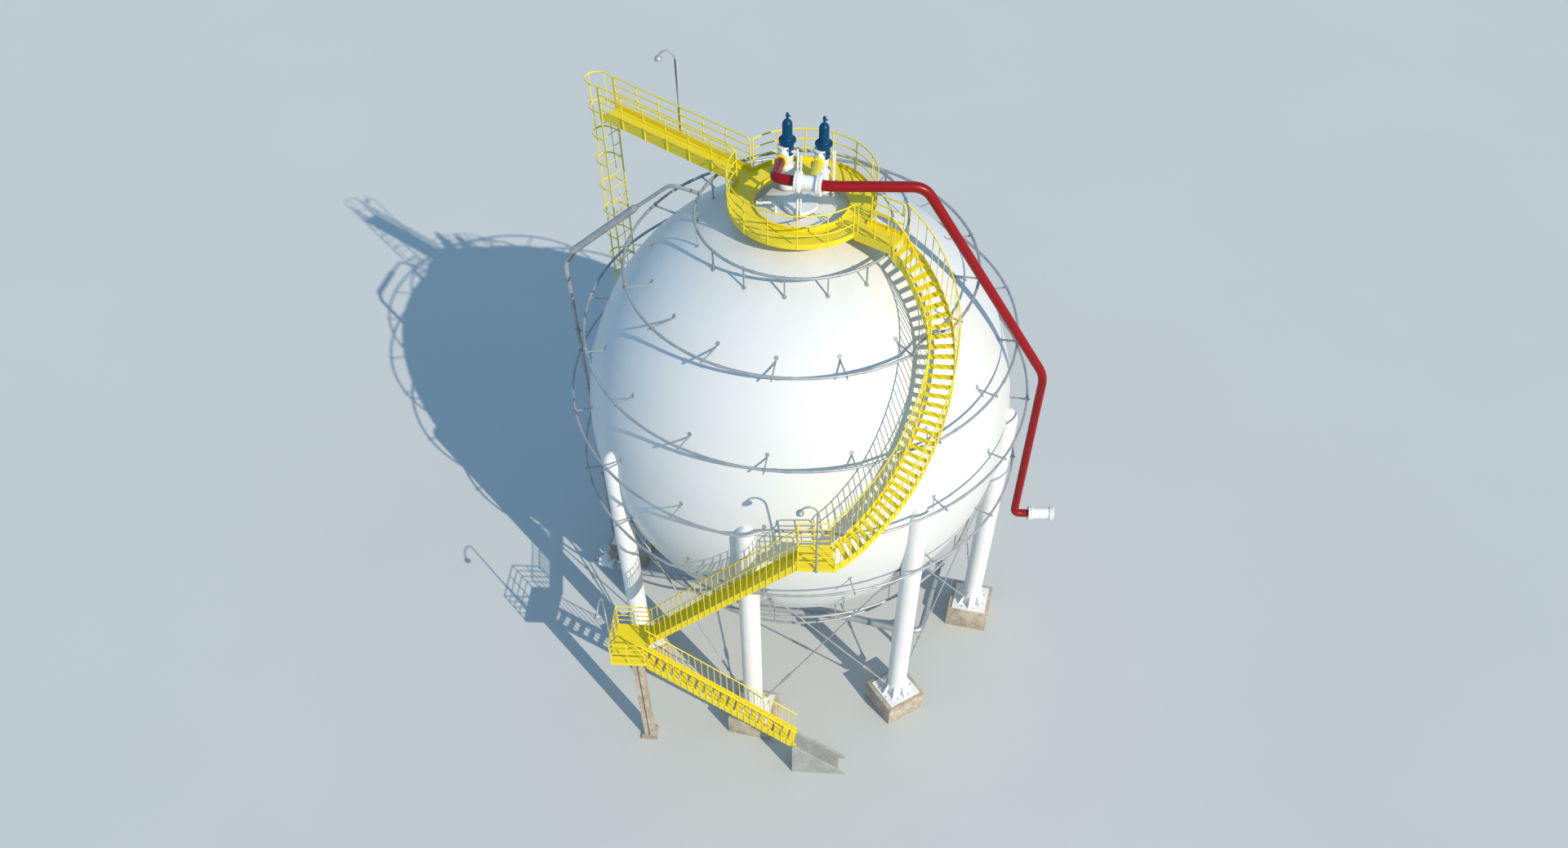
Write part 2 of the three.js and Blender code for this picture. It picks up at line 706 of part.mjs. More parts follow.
/** The cage: hoops held to the outside of the ladder's stiles, three uprights and the bow on top. */
function cageNode() {
  const face = LADDER_HALF + LADDER_STILE / 2 + GAP;
  const half = face + CAGE_BAND / 2;
  const hoop = (z, height) => {
    const points = [vec(LADDER_INNER + SINK, -half, z)];
    for (let i = 0; i <= 4; i += 1) {
      const turn = THREE.MathUtils.degToRad(-90 + 45 * i);
      points.push(vec(CAGE_CENTRE + half * Math.cos(turn), half * Math.sin(turn), z));
    }
    points.push(vec(LADDER_INNER + SINK, half, z));
    const route = points.map((p) => p.applyMatrix4(walkwayFrame));
    return strip(route, CAGE_BAND, -height / 2, height / 2);
  };
  const parts = [hoop(LADDER_TOP, RAIL_BAR)];
  for (let z = CAGE_FIRST; z <= CAGE_LAST; z += CAGE_STEP) parts.push(hoop(z, CAGE_BAND_HEIGHT));
  const reach = half - CAGE_UPRIGHT / 2;
  for (const turn of [-90, 0, 90]) {
    const angle = THREE.MathUtils.degToRad(turn);
    const out = vec(Math.cos(angle), Math.sin(angle), 0);
    const at = (z) => vec(CAGE_CENTRE, 0, z).addScaledVector(out, reach).applyMatrix4(walkwayFrame);
    const facing = out.clone().transformDirection(walkwayFrame);
    parts.push(bar(at(CAGE_FIRST), at(LADDER_TOP), CAGE_UPRIGHT, CAGE_UPRIGHT, facing));
  }
  piece('ladder_cage', join(parts), 'yellow');
}

// Bridge and curved stair.
const BRIDGE_END = vec(2990, -2125, DECK_TOP);
const BRIDGE_HEADING = vec(0.834, -0.552, 0).normalize();
const BRIDGE_LENGTH = 1420;
const BRIDGE_DEPTH = 160;

function bridgeNode() {
  const frame = levelFrame(vec(BRIDGE_END.x, BRIDGE_END.y, 0), BRIDGE_HEADING);
  const half = STAIR_HALF + STRINGER / 2;
  const start = -BRIDGE_LENGTH;
  const end = -GAP;
  const parts = [block(vec(start, -half, DECK_TOP - BRIDGE_DEPTH), vec(end, half, DECK_TOP), frame)];
  const rails = { levels: RAIL_LEVELS, foot: -POST_SINK, spacing: 700 };
  for (const side of [-1, 1]) {
    const [a, b] = [side * (half - TOE_THICK), side * half].sort((p, q) => p - q);
    parts.push(block(vec(start, a, DECK_TOP - SINK), vec(end, b, DECK_TOP + TOE_HEIGHT), frame));
    parts.push(...straightRail(frame, start + 200, end, side * (half - RAIL_BAR / 2), rails));
  }
  piece('stair_bridge', join(parts).subtract(platformRoom()), 'yellow');
}

const STAIR_RISERS = 38;
const STAIR_HANDRAIL = 1100;
const STRINGER_DROP = 260;
const STRINGER_RISE = 60;
const KNOT_STEP = 2;
const STAIR_PLAN = [
  [3668, 54.6, 18500],
  [4470, 54.2, 17970],
  [5930, 47.6, 16910],
  [7110, 37.9, 15740],
  [7935, 29.0, 14550],
  [8440, 21.8, 13500],
  [8850, 12.9, 12250],
  [9036.5, 7.47, 11600],
];

/** Stations of the curved stair, one at each tread edge: point and heading in plan. */
function stairStations() {
  const points = STAIR_PLAN.map(([radius, azimuth, z]) => polar(radius, azimuth, z));
  points[0].copy(BRIDGE_END);
  const path = new THREE.CatmullRomCurve3(points, false, 'centripetal');
  const samples = path.getPoints(1600);
  const rise = (DECK_TOP - MIDDLE_DECK) / STAIR_RISERS;
  const stations = [];
  for (let i = 0; i <= STAIR_RISERS; i += 1) {
    const level = DECK_TOP - rise * i;
    const near = samples.reduce((best, p) => (Math.abs(p.z - level) < Math.abs(best.z - level) ? p : best));
    stations.push(vec(near.x, near.y, level));
  }
  return stations;
}

const STATIONS = stairStations();
const STAIR_RISE = (DECK_TOP - MIDDLE_DECK) / STAIR_RISERS;
const LAST_EDGE = vec(...MIDDLE_OUTLINE[2], 0).sub(vec(...MIDDLE_OUTLINE[1], 0));
const STAIR_START = BRIDGE_HEADING.clone();
const STAIR_FINISH = vec(-LAST_EDGE.y, LAST_EDGE.x, 0).normalize();

/** Level heading of the stair at each station. */
function stationHeading(i) {
  if (i === 0) return STAIR_START.clone();
  if (i === STATIONS.length - 1) return STAIR_FINISH.clone();
  return STATIONS[i + 1].clone().sub(STATIONS[i - 1]).setZ(0).normalize();
}

/** Points along one side of the stair at an offset to the left of its heading. */
function stairSide(offset, lift) {
  const knots = STATIONS.map((_, i) => i).filter((i) => i % KNOT_STEP === 0);
  return knots.map((i) => {
    const [point, heading] = [STATIONS[i], stationHeading(i)];
    return vec(point.x - heading.y * offset, point.y + heading.x * offset, point.z + lift);
  });
}

/** The room that a landing takes, its rails included. */
function landingRoom(outline, deck) {
  return prism(grown(outline, GAP), deck - 1500, deck + 2500);
}

function upperStairNode() {
  const ends = { start: STAIR_START, end: STAIR_FINISH };
  const parts = [];
  for (const side of [-1, 1]) {
    parts.push(strip(stairSide(side * STAIR_HALF, 0), STRINGER, -STRINGER_DROP, STRINGER_RISE, ends));
  }
  for (let i = 1; i < STAIR_RISERS; i += 1) {
    const from = STATIONS[i - 1];
    const to = STATIONS[i];
    const heading = to.clone().sub(from).setZ(0);
    const frame = levelFrame(vec(to.x, to.y, 0), heading);
    const reach = STAIR_HALF - STRINGER / 2 + SINK;
    const depth = heading.length() * STAIR_TREAD;
    parts.push(block(vec(-depth, -reach, to.z - TREAD_THICK), vec(0, reach, to.z), frame));
  }
  piece('upper_stair', join(parts).subtract(landingRoom(MIDDLE_OUTLINE, MIDDLE_DECK)), 'yellow');
}

/** One handrail of the curved stair, its balusters bolted to the stringer's outer face. */
function upperRailNode(name, side) {
  const face = side * (STAIR_HALF + STRINGER / 2);
  const line = face + side * (GAP + BALUSTER / 2);
  const edge = stairSide(face, 0);
  const half = RAIL_BAR / 2;
  const ends = { start: STAIR_START, end: STAIR_FINISH };
  const parts = [strip(stairSide(line, STAIR_HANDRAIL), RAIL_BAR, -half, half, ends)];
  for (let i = 1; i < edge.length; i += KNOT_STEP) {
    const facing = edge[i].clone().sub(edge[i - 1]).setZ(0).normalize();
    const out = vec(-facing.y, facing.x, 0).multiplyScalar(side * (GAP + BALUSTER / 2));
    const middle = edge[i].clone().add(edge[i - 1]).multiplyScalar(0.5).add(out);
    const foot = middle.clone().setZ(middle.z - STRINGER_DROP / 2);
    const head = middle.clone().setZ(middle.z + STAIR_HANDRAIL);
    parts.push(bar(foot, head, BALUSTER, BALUSTER, facing));
  }
  piece(name, join(parts).subtract(landingRoom(MIDDLE_OUTLINE, MIDDLE_DECK)), 'yellow');
}

// Straight flights and landings.
/** A straight flight in its own frame: stringers, treads, balusters and handrails. */
function flight({ frame, run, rise, treads, half, top, handrail, balusters, before, after, fill }) {
  const going = run / treads;
  const slope = rise / going;
  const at = (x, lift) => [x, top - x * slope + lift];
  const parts = [];
  const [low, high] = [-before, run + after];
  const line = half + STRINGER / 2 + 12;
  for (const side of [-1, 1]) {
    const under = [at(low, -FLIGHT_DROP), at(high, -FLIGHT_DROP)];
    const over = [at(high, FLIGHT_RISE), at(low, FLIGHT_RISE)];
    parts.push(sidePlate([...under, ...over], side * half, STRINGER, frame));
    const point = (x, lift) => vec(x, side * line, at(x, lift)[1]).applyMatrix4(frame);
    parts.push(bar(point(low, handrail), point(high, handrail), RAIL_BAR));
    const facing = vec(1, 0, 0).transformDirection(frame);
    for (let i = 0; i < balusters; i += 1) {
      const x = ((i + 0.5) * run) / balusters;
      parts.push(bar(point(x, SINK - FLIGHT_DROP), point(x, handrail), BALUSTER, BALUSTER, facing));
    }
  }
  const reach = half - STRINGER / 2 + SINK;
  for (let i = 1; i <= treads; i += 1) {
    const level = top - rise * i;
    const back = (i - FLIGHT_TREAD) * going;
    parts.push(block(vec(back, -reach, level - TREAD_THICK), vec(i * going, reach, level), frame));
  }
  for (const [from, to, level] of fill) {
    parts.push(block(vec(from, -reach, level - TREAD_THICK), vec(to, reach, level), frame));
  }
  return join(parts);
}

const FLIGHT_DROP = 280;
const FLIGHT_RISE = 70;
const MIDDLE_START = vec(-30, -8985, 0);
const MIDDLE_HEADING = vec(-5.65, 1.67, 0);
const MIDDLE_RUN = 5860;
const MIDDLE_HALF = 388;
const MIDDLE_TREADS = 29;
const LOWER_START = vec(-5690, -8200, 0);
const LOWER_HEADING = vec(0.9675, -0.2531, 0);
const LOWER_RUN = 5860;
const LOWER_HALF = 345;
const LOWER_TREADS = 19;
const FLIGHT_HANDRAIL = 1000;

/** The concrete steps' frame: X down the steps from the left end. */
const stepsFrame = levelFrame(vec(-120, -9735, 0), vec(0.9984, -0.0557, 0));
const STEPS_HALF = 430;
const STEPS_LENGTH = 2150;
const STEPS_COUNT = 9;
const STEPS_GOING = 208;

function middleStairNode() {
  const shape = flight({
    frame: levelFrame(MIDDLE_START, MIDDLE_HEADING),
    run: MIDDLE_RUN,
    rise: (MIDDLE_DECK - LOWER_DECK) / (MIDDLE_TREADS + 1),
    treads: MIDDLE_TREADS,
    half: MIDDLE_HALF,
    top: MIDDLE_DECK,
    handrail: FLIGHT_HANDRAIL,
    balusters: 8,
    before: 170,
    after: 110,
    fill: [[-150, SINK, MIDDLE_DECK], [MIDDLE_RUN - SINK, MIDDLE_RUN + 110, LOWER_DECK + TREAD_THICK]],
  });
  const rooms = join([landingRoom(MIDDLE_OUTLINE, MIDDLE_DECK), landingRoom(LOWER_OUTLINE, LOWER_DECK)]);
  piece('middle_stair', shape.subtract(rooms), 'yellow');
}

function lowerStairNode() {
  const shape = flight({
    frame: levelFrame(LOWER_START, LOWER_HEADING),
    run: LOWER_RUN,
    rise: (LOWER_DECK - STEPS_TOP) / (LOWER_TREADS + 1),
    treads: LOWER_TREADS,
    half: LOWER_HALF,
    top: LOWER_DECK,
    handrail: FLIGHT_HANDRAIL,
    balusters: 7,
    before: 130,
    after: 75,
    fill: [[-120, SINK, LOWER_DECK]],
  });
  const rooms = join([landingRoom(LOWER_OUTLINE, LOWER_DECK), stepsRoom()]);
  piece('lower_stair', shape.subtract(rooms), 'yellow');
}

/** A landing: deck, edge plates and the rails on its closed sides. */
function landingNode(name, outline, deck, under, rails) {
  const parts = [prism(outline, under, deck)];
  parts.push(...rails);
  piece(name, join(parts), 'yellow');
}

function middleLandingNode() {
  const inset = grown(MIDDLE_OUTLINE, -28);
  const levels = [1090, 820, 550, 280];
  const rails = [
    ...cornerRail([inset[0], inset[1]], MIDDLE_DECK, levels),
    ...cornerRail([inset[2], inset[3]], MIDDLE_DECK, levels),
  ];
  landingNode('middle_landing', MIDDLE_OUTLINE, MIDDLE_DECK, MIDDLE_DECK - 150, rails);
}

function lowerLandingNode() {
  const inset = grown(LOWER_OUTLINE, -28);
  const levels = [1080, 820, 550, 280];
  const rails = cornerRail([inset[2], inset[3], inset[0], inset[1]], LOWER_DECK, levels);
  landingNode('lower_landing', LOWER_OUTLINE, LOWER_DECK, LOWER_DECK - 130, rails);
}

/** The post under the lower landing: a square post with a slot down its front and back. */
function landingPostNode() {
  const [x, y] = [-6060, -8370];
  const half = 195;
  const top = LOWER_DECK - 130;
  const frame = levelFrame(vec(x, y, 0), vec(1, -0.05, 0));
  const post = block(vec(-half, -half, 60), vec(half, half, top), frame);
  const slots = [-1, 1].map((side) => {
    const [a, b] = [side * 90, side * 260].sort((p, q) => p - q);
    return block(vec(-24, a, 130), vec(24, b, top - 60), frame);
  });
  const pad = block(vec(-330, -330, 0), vec(330, 330, 90), frame);
  piece('landing_post', join([post.subtract(join(slots)), pad]), 'footing');
}

/** The room over the concrete steps, which the lower flight ends at. */
function stepsRoom() {
  return sidePlate([
    [-GAP, -10], [STEPS_LENGTH, -10], [STEPS_LENGTH, STEPS_TOP + 2000], [-GAP, STEPS_TOP + 2000],
  ], 0, 2 * STEPS_HALF + 400, stepsFrame);
}

/** Steps cast between two sloping cheeks. */
function concreteStepsNode() {
  const cheekTop = STEPS_TOP + 80;
  const cheek = [[0, 0], [STEPS_LENGTH, 0], [STEPS_LENGTH, 40], [90, cheekTop], [0, cheekTop]];
  const rise = STEPS_TOP / STEPS_COUNT;
  const outline = [[0, 0], [STEPS_GOING * STEPS_COUNT, 0]];
  for (let i = STEPS_COUNT; i > 0; i -= 1) {
    const level = STEPS_TOP - rise * (i - 1);
    outline.push([STEPS_GOING * i, level], [STEPS_GOING * (i - 1), level]);
  }
  outline.splice(-1);
  outline.push([0, STEPS_TOP]);
  const parts = [-1, 1].map((side) => sidePlate(cheek, side * (STEPS_HALF - 50), 100, stepsFrame));
  parts.push(sidePlate(outline, 0, 2 * STEPS_HALF - 190, stepsFrame));
  piece('concrete_steps', join(parts), 'concrete');
}

// Relief valves and pipes.
const VALVES = {
  left: { axis: [-480, 1250], outlet: vec(-660, 800, 19450) },
  right: { axis: [680, 1050], outlet: vec(500, 750, 19400) },
};

/** Side outline of a relief valve, radius and height: nozzle, flanges, body, bonnet and knob. */
const VALVE_OUTLINE = [
  [0, 17900], [150, 17900], [150, 18290], [285, 18290], [285, 18420], [160, 18420],
  [225, 19300], [225, 19560], [265, 19570], [265, 19640], [170, 19650],
  [170, 19800], [286, 19800], [286, 19860], [165, 19860], [165, 20380], [120, 20450], [50, 20460],
  [50, 20690], [0, 20690],
];
const OUTLET_RADIUS = 155;
const OUTLET_NECK = 125;
const OUTLET_REACH = 420;
const FLANGE_RADIUS = 205;
const FLANGE_THICK = 60;

const HEADER_TURN = vec(-860, -1220, 20060);
const SPOOL_FROM = vec(-200, -1395, 20060);
const SPOOL_TO = vec(620, -1600, 20060);
const SPOOL_RADIUS = 235;
const SPOOL_FLANGE = 325;
const SPOOL_PAIR = 160;
const YELLOW_END = vec(300, -1500, 20050);

/** The vertical plane of the long red pipe, and the corners of its way down. */
const HEADER_PLANE = -1650;
const HEADER_CORNERS = [[900, 20060], [3730, 20060], [8600, 13030], [8660, 6180], [9260, 6180]];
const DISCHARGE_START = 9220;
const DISCHARGE_FACE = 10220;
const DISCHARGE_RADIUS = 200;
const DISCHARGE_FLANGE = 275;

function outletHeading(side) {
  const target = side === 'left' ? HEADER_TURN : YELLOW_END;
  return target.clone().sub(VALVES[side].outlet).normalize();
}

function valveNode(side) {
  const { axis, outlet } = VALVES[side];
  const heading = outletHeading(side);
  const at = (reach) => outlet.clone().addScaledVector(heading, -reach);
  const parts = [
    turned(VALVE_OUTLINE, 10).translate([...axis, 0]),
    rod(at(OUTLET_REACH), at(FLANGE_THICK / 2), OUTLET_NECK, 8),
    disc(at(FLANGE_THICK / 2), heading, FLANGE_RADIUS, FLANGE_THICK, 12),
  ];
  piece(`relief_valve_${side}`, offBall(join(parts)), 'white');
}

/** A flanged length of pipe between two points, grown by a margin. */
function spool(from, to, radius, flange, grow = 0) {
  const along = to.clone().sub(from).normalize();
  const length = from.distanceTo(to);
  const profile = [
    [0, -grow], [flange + grow, -grow],
    [flange + grow, SPOOL_PAIR + grow], [radius + grow, SPOOL_PAIR + grow],
    [radius + grow, length - SPOOL_PAIR - grow], [flange + grow, length - SPOOL_PAIR - grow],
    [flange + grow, length + grow], [0, length + grow],
  ];
  const points = profile.map(([x, y]) => new THREE.Vector2(x, y));
  const turn = new THREE.Quaternion().setFromUnitVectors(vec(0, 1, 0), along);
  const matrix = new THREE.Matrix4().compose(from, turn, vec(1, 1, 1));
  return solid(new THREE.LatheGeometry(points, 12), matrix);
}

/** The discharge header: elbow from the left valve, flanged length, then the long pipe down. */
function headerNode() {
  const heading = outletHeading('left');
  const start = VALVES.left.outlet.clone().addScaledVector(heading, GAP);
  const inSpool = SPOOL_FROM.clone().lerp(SPOOL_TO, 0.05);
  const outOfSpool = SPOOL_TO.clone().lerp(SPOOL_FROM, 0.05);
  const first = rounded([start, HEADER_TURN, inSpool], 330, 3);
  const down = HEADER_CORNERS.map(([x, z]) => vec(x, HEADER_PLANE, z));
  const second = rounded([outOfSpool, ...down], 380, 3);
  const end = (x) => vec(x, HEADER_PLANE, HEADER_CORNERS[4][1]);
  const parts = [
    pipe(first, OUTLET_RADIUS, 8, { start: heading }),
    disc(start.clone().addScaledVector(heading, FLANGE_THICK / 2), heading, FLANGE_RADIUS, FLANGE_THICK, 12),
    spool(SPOOL_FROM, SPOOL_TO, SPOOL_RADIUS, SPOOL_FLANGE),
    pipe(second, OUTLET_RADIUS, 8),
    spool(end(DISCHARGE_START), end(DISCHARGE_FACE), DISCHARGE_RADIUS, DISCHARGE_FLANGE),
  ];
  piece('relief_header', join(parts), 'red');
}

function yellowOutletNode() {
  const heading = outletHeading('right');
  const start = VALVES.right.outlet.clone().addScaledVector(heading, GAP);
  const parts = [
    rod(start, YELLOW_END, OUTLET_RADIUS, 8),
    disc(start.clone().addScaledVector(heading, FLANGE_THICK / 2), heading, FLANGE_RADIUS, FLANGE_THICK, 12),
  ];
  const cut = spool(SPOOL_FROM, SPOOL_TO, SPOOL_RADIUS, SPOOL_FLANGE, GAP);
  piece('yellow_outlet', join(parts).subtract(cut), 'yellow');
}

const VENT_RADIUS = 36;
const VENT_Y = -577;
const VENTS = [[-143, 20570], [-40, 20370]];

/** The manway on the crown, with the two thin vent pipes held beside its cover. */
function manholeNode() {
  const outline = [[0, 18000], [430, 18000], [430, 18350], [555, 18350], [555, 18470], [0, 18470]];
  const at = (x, z) => vec(x, VENT_Y, z);
  const [left, right] = VENTS;
  const parts = [turned(outline, 18).translate([-30, 20, 0])];
  for (const [x, top] of VENTS) {
    parts.push(rod(at(x, 18000), at(x, top), VENT_RADIUS, 8));
    parts.push(bar(at(x, 18440), vec(x, -450, 18440), 30));
  }
  for (const z of [19000, 19600, 20200]) parts.push(bar(at(left[0], z), at(right[0], z), 30));
  parts.push(bar(at(left[0], left[1] - 60), at(left[0] - 190, left[1] - 60), 50));
  piece('manhole', offBall(join(parts)), 'white');
}

/** The angle post that stands behind the right valve. */
function anglePostNode() {
  const [x, y, top, size] = [1030, 850, 19720, 90];
  const arm = top - size / 2;
  const parts = [
    bar(vec(x, y, 17500), vec(x, y, top), size),
    bar(vec(x, y, arm), vec(x - 100, y, arm), size),
  ];
  piece('angle_post', offBall(join(parts)), 'white');
}

/** A short sampling pipe from the crown, turned level, with its block valve and end flange. */
function stubPipeNode() {
  const [x, y, z] = [-840, -200, 18600];
  const end = x - 600;
  const route = rounded([vec(x, y, 18100), vec(x, y, z), vec(end, y, z)], 130, 3);
  const along = vec(1, 0, 0);
  const parts = [
    pipe(route, 45, 8),
    disc(vec(end, y, z), along, 95, 50, 12),
    block(vec(end + 60, y - 75, z - 75), vec(end + 230, y + 75, z + 75)),
  ];
  piece('stub_pipe', offBall(join(parts)), 'white');
}

const PRODUCT_LEVEL = 850;
const PRODUCT_RADIUS = 135;
const PRODUCT_FLANGE = 230;
const PRODUCT_ROUTE = [
  [-9150, 450], [-7200, -300], [-4250, -800], [-1650, -2300],
  [2300, -2800], [4200, -3400], [5350, -3500], [6400, 400],
];
const PIPE_SUPPORTS = [[-7200, -300], [-3000, -1540], [300, -2547], [4200, -3380], [6100, -720]];
const SUPPORT_HALF = 90;
const BRANCH_RADIUS = 110;
const BRANCH_Y = -2509;

/** The product pipe near the ground, with its valve, its branch to the ball and its supports. */
function bottomPipeNode() {
  const z = PRODUCT_LEVEL;
  const corners = PRODUCT_ROUTE.map(([x, y]) => vec(x, y, z));
  const heading = corners[1].clone().sub(corners[0]).normalize();
  const at = (distance) => corners[0].clone().addScaledVector(heading, distance);
  const last = corners[corners.length - 1];
  const finish = last.clone().sub(corners[corners.length - 2]).normalize();
  const [near, far] = [at(330), at(900)];
  const stem = at(615);
  const parts = [
    pipe(rounded(corners, 300, 2), PRODUCT_RADIUS, 8),
    disc(near, heading, PRODUCT_FLANGE, 90, 8),
    disc(far, heading, PRODUCT_FLANGE, 90, 8),
    rod(near, far, 190, 8),
    rod(stem, stem.clone().setZ(z + 480), 110, 8),
    rod(stem.clone().setZ(z + 470), stem.clone().setZ(z + 900), 34, 6),
    disc(stem.clone().setZ(z + 900), UP, PRODUCT_FLANGE, 40, 12),
    disc(last.clone().addScaledVector(finish, -FLANGE_THICK / 2), finish, PRODUCT_FLANGE, FLANGE_THICK, 8),
  ];
  for (const [x, y] of PIPE_SUPPORTS) {
    const [low, high] = [-SUPPORT_HALF, SUPPORT_HALF];
    parts.push(block(vec(x + low, y + low, 0), vec(x + high, y + high, z - 60)));
  }
  const ballFoot = BALL_CENTRE - BALL_RADIUS;
  const branch = rounded([vec(0, BRANCH_Y, z), vec(0, 0, z), vec(0, 0, ballFoot + 60)], 400, 3);
  parts.push(pipe(branch, BRANCH_RADIUS, 8));
  parts.push(disc(vec(0, 0, ballFoot - 260), UP, 210, 90, 12));
  parts.push(block(vec(-60, -60, 0), vec(60, 60, z + 60)));
  parts.push(block(vec(-160, -160, 0), vec(160, 160, 25)));
  piece('bottom_pipe', offBall(join(parts)), 'galvanised');
}

const LAMP_POLE = 36;
const LAMP_REACH = 540;
const LAMP_RISE = 290;
const LAMP_BEND = 165;

/** A gooseneck lamp on a pole clamped to a deck's edge; it leans out toward the left. */
function lampNode(name, foot, height, inward, reach) {
  const head = foot.clone().add(vec(0, 0, height));
  const points = [foot];
  for (let i = 0; i <= 6; i += 1) {
    const angle = THREE.MathUtils.degToRad((LAMP_BEND * i) / 6);
    const back = (LAMP_REACH / 2) * (1 - Math.cos(angle));
    points.push(head.clone().add(vec(-back, 0, LAMP_RISE * Math.sin(angle))));
  }
  const end = points[points.length - 1];
  const shade = [[0, -80], [125, -80], [125, -30], [90, 40], [40, 60], [0, 60]];
  const parts = [pipe(points, LAMP_POLE, 6), turned(shade, 8).translate([end.x, end.y, end.z])];
  for (const lift of [60, 100]) {
    const middle = foot.clone().add(vec(0, 0, lift));
    const near = middle.clone().addScaledVector(inward, reach - GAP);
    const far = middle.clone().addScaledVector(inward, -LAMP_POLE - 10);
    parts.push(bar(near, far, 100, 18));
  }
  piece(name, join(parts), 'galvanised');
}

/** A lamp that stands against the edge between two corners of a landing. */
function landingLamp(name, from, to, share, deck, height) {
  const [a, b] = [vec(...from, 0), vec(...to, 0)];
  const edge = b.clone().sub(a).normalize();
  const out = vec(edge.y, -edge.x, 0);
  const reach = LAMP_POLE + GAP;
  const foot = a.lerp(b, share).addScaledVector(out, reach).setZ(deck);
  lampNode(name, foot, height, out.clone().negate(), reach);
}

function lampNodes() {
  const line = WALKWAY_LINE + RAIL_BAR / 2 + LAMP_POLE + GAP;
  const foot = vec(5556, -line, DECK_TOP - 120).applyMatrix4(walkwayFrame);
  const inward = vec(0, 1, 0).transformDirection(walkwayFrame);
  lampNode('lamp_walkway', foot, 2610, inward, line - WALKWAY_HALF);
  landingLamp('lamp_middle', MIDDLE_OUTLINE[0], MIDDLE_OUTLINE[1], 0.5, MIDDLE_DECK - 140, 2730);
  landingLamp('lamp_lower', LOWER_OUTLINE[3], LOWER_OUTLINE[0], 0.66, LOWER_DECK - 120, 2730);
}

// Assembly.
shellNodes();
for (let i = 0; i < COLUMN_COUNT; i += 1) columnNode(i);
for (let i = 0; i < COLUMN_COUNT; i += 1) footingNode(i);
for (let i = 0; i < COLUMN_COUNT; i += 1) braceNode(i);
RINGS.forEach(ringNode);
riserNode();
platformNode();
walkwayNode();
ladderNode();
cageNode();
bridgeNode();
upperStairNode();
upperRailNode('upper_rail_inner', -1);
upperRailNode('upper_rail_outer', 1);
middleLandingNode();
middleStairNode();
lowerLandingNode();
lowerStairNode();
landingPostNode();
concreteStepsNode();
valveNode('left');
valveNode('right');
headerNode();
yellowOutletNode();
manholeNode();
anglePostNode();
stubPipeNode();
bottomPipeNode();
lampNodes();

export default group;
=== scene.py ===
"""Spherical gas tank: the looks of the ball, its columns, stairs, rings, valves and pipes.

Metres, +Z up, ground at z = 0, the ball's centre on the Z axis. Azimuths are in degrees,
counted from the front (-Y) toward the right (+X).
"""

import logging
from contextlib import contextmanager
from dataclasses import dataclass
from enum import Enum
from math import asin, cos, degrees, hypot, pi, radians, sin, sqrt
from typing import Any, ClassVar, Iterable, Iterator, Sequence

import bmesh
import bpy
from mathutils import Matrix, Vector


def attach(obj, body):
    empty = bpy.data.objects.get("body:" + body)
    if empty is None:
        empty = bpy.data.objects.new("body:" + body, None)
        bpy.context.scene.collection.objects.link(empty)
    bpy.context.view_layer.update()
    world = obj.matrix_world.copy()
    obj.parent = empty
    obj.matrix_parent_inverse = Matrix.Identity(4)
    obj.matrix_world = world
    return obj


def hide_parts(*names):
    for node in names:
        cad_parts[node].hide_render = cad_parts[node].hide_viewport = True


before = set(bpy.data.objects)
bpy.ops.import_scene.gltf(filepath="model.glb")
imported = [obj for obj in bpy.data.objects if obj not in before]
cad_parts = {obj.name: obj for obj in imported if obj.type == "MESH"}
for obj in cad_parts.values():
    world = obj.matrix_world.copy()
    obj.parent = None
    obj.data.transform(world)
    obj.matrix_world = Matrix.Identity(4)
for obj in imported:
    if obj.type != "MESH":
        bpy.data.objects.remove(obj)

log = logging.getLogger("gas_tank")

Outline = Sequence[tuple[float, float]]

UP = Vector((0, 0, 1))
UPRIGHT = 0.999  # a direction that rises more is plumb
SINK = 0.004  # how far a foot sinks into what carries it
TOUCH = 0.0003  # the gap between pieces that lie against each other
MERGE = 1e-6  # corners nearer than this are one
CREASE = radians(35)  # edges sharper than this stay sharp
SIDE_PLATE = 0.016
DECK_PLATE = 0.014
TREAD_PLATE = 0.012
TREAD_FOLD = 0.036
HANDRAIL = 0.023


def polar(radius: float, azimuth: float, z: float = 0.0) -> Vector:
    """A point at a radius, an azimuth in degrees and a height."""
    angle = radians(azimuth)
    return Vector((radius * sin(angle), -radius * cos(angle), z))


def lifted(point: Vector, z: float) -> Vector:
    """A plan point at a height."""
    return Vector((point.x, point.y, z))


def plan(place: Matrix, corners: Iterable[Sequence[float]]) -> list[tuple[float, float]]:
    """The plan outline of corners that are given in a level frame."""
    return [tuple(place @ Vector((*corner, 0)))[:2] for corner in corners]


def framed(origin: Sequence[float], side: Vector, rise: Vector, along: Vector) -> Matrix:
    """A frame at a point with the three axes that it is given."""
    return Matrix.Translation(origin) @ Matrix((side, rise, along)).transposed().to_4x4()


def level_frame(origin: Sequence[float], heading: Sequence[float]) -> Matrix:
    """A level frame at a point, its X axis along a heading's level part."""
    along = Vector((heading[0], heading[1], 0)).normalized()
    return framed(origin, along, UP.cross(along), UP)


def axis_frame(origin: Sequence[float], axis: Sequence[float]) -> Matrix:
    """A frame whose Z axis points along a direction, for turned pieces."""
    turn = Vector(axis).to_track_quat("Z", "Y").to_matrix().to_4x4()
    return Matrix.Translation(Vector(origin)) @ turn


def arc(radius: float, start: float, end: float, z: float, steps: int) -> list[Vector]:
    """Points of a level arc between two azimuths."""
    return [polar(radius, start + (end - start) * i / steps, z) for i in range(steps + 1)]


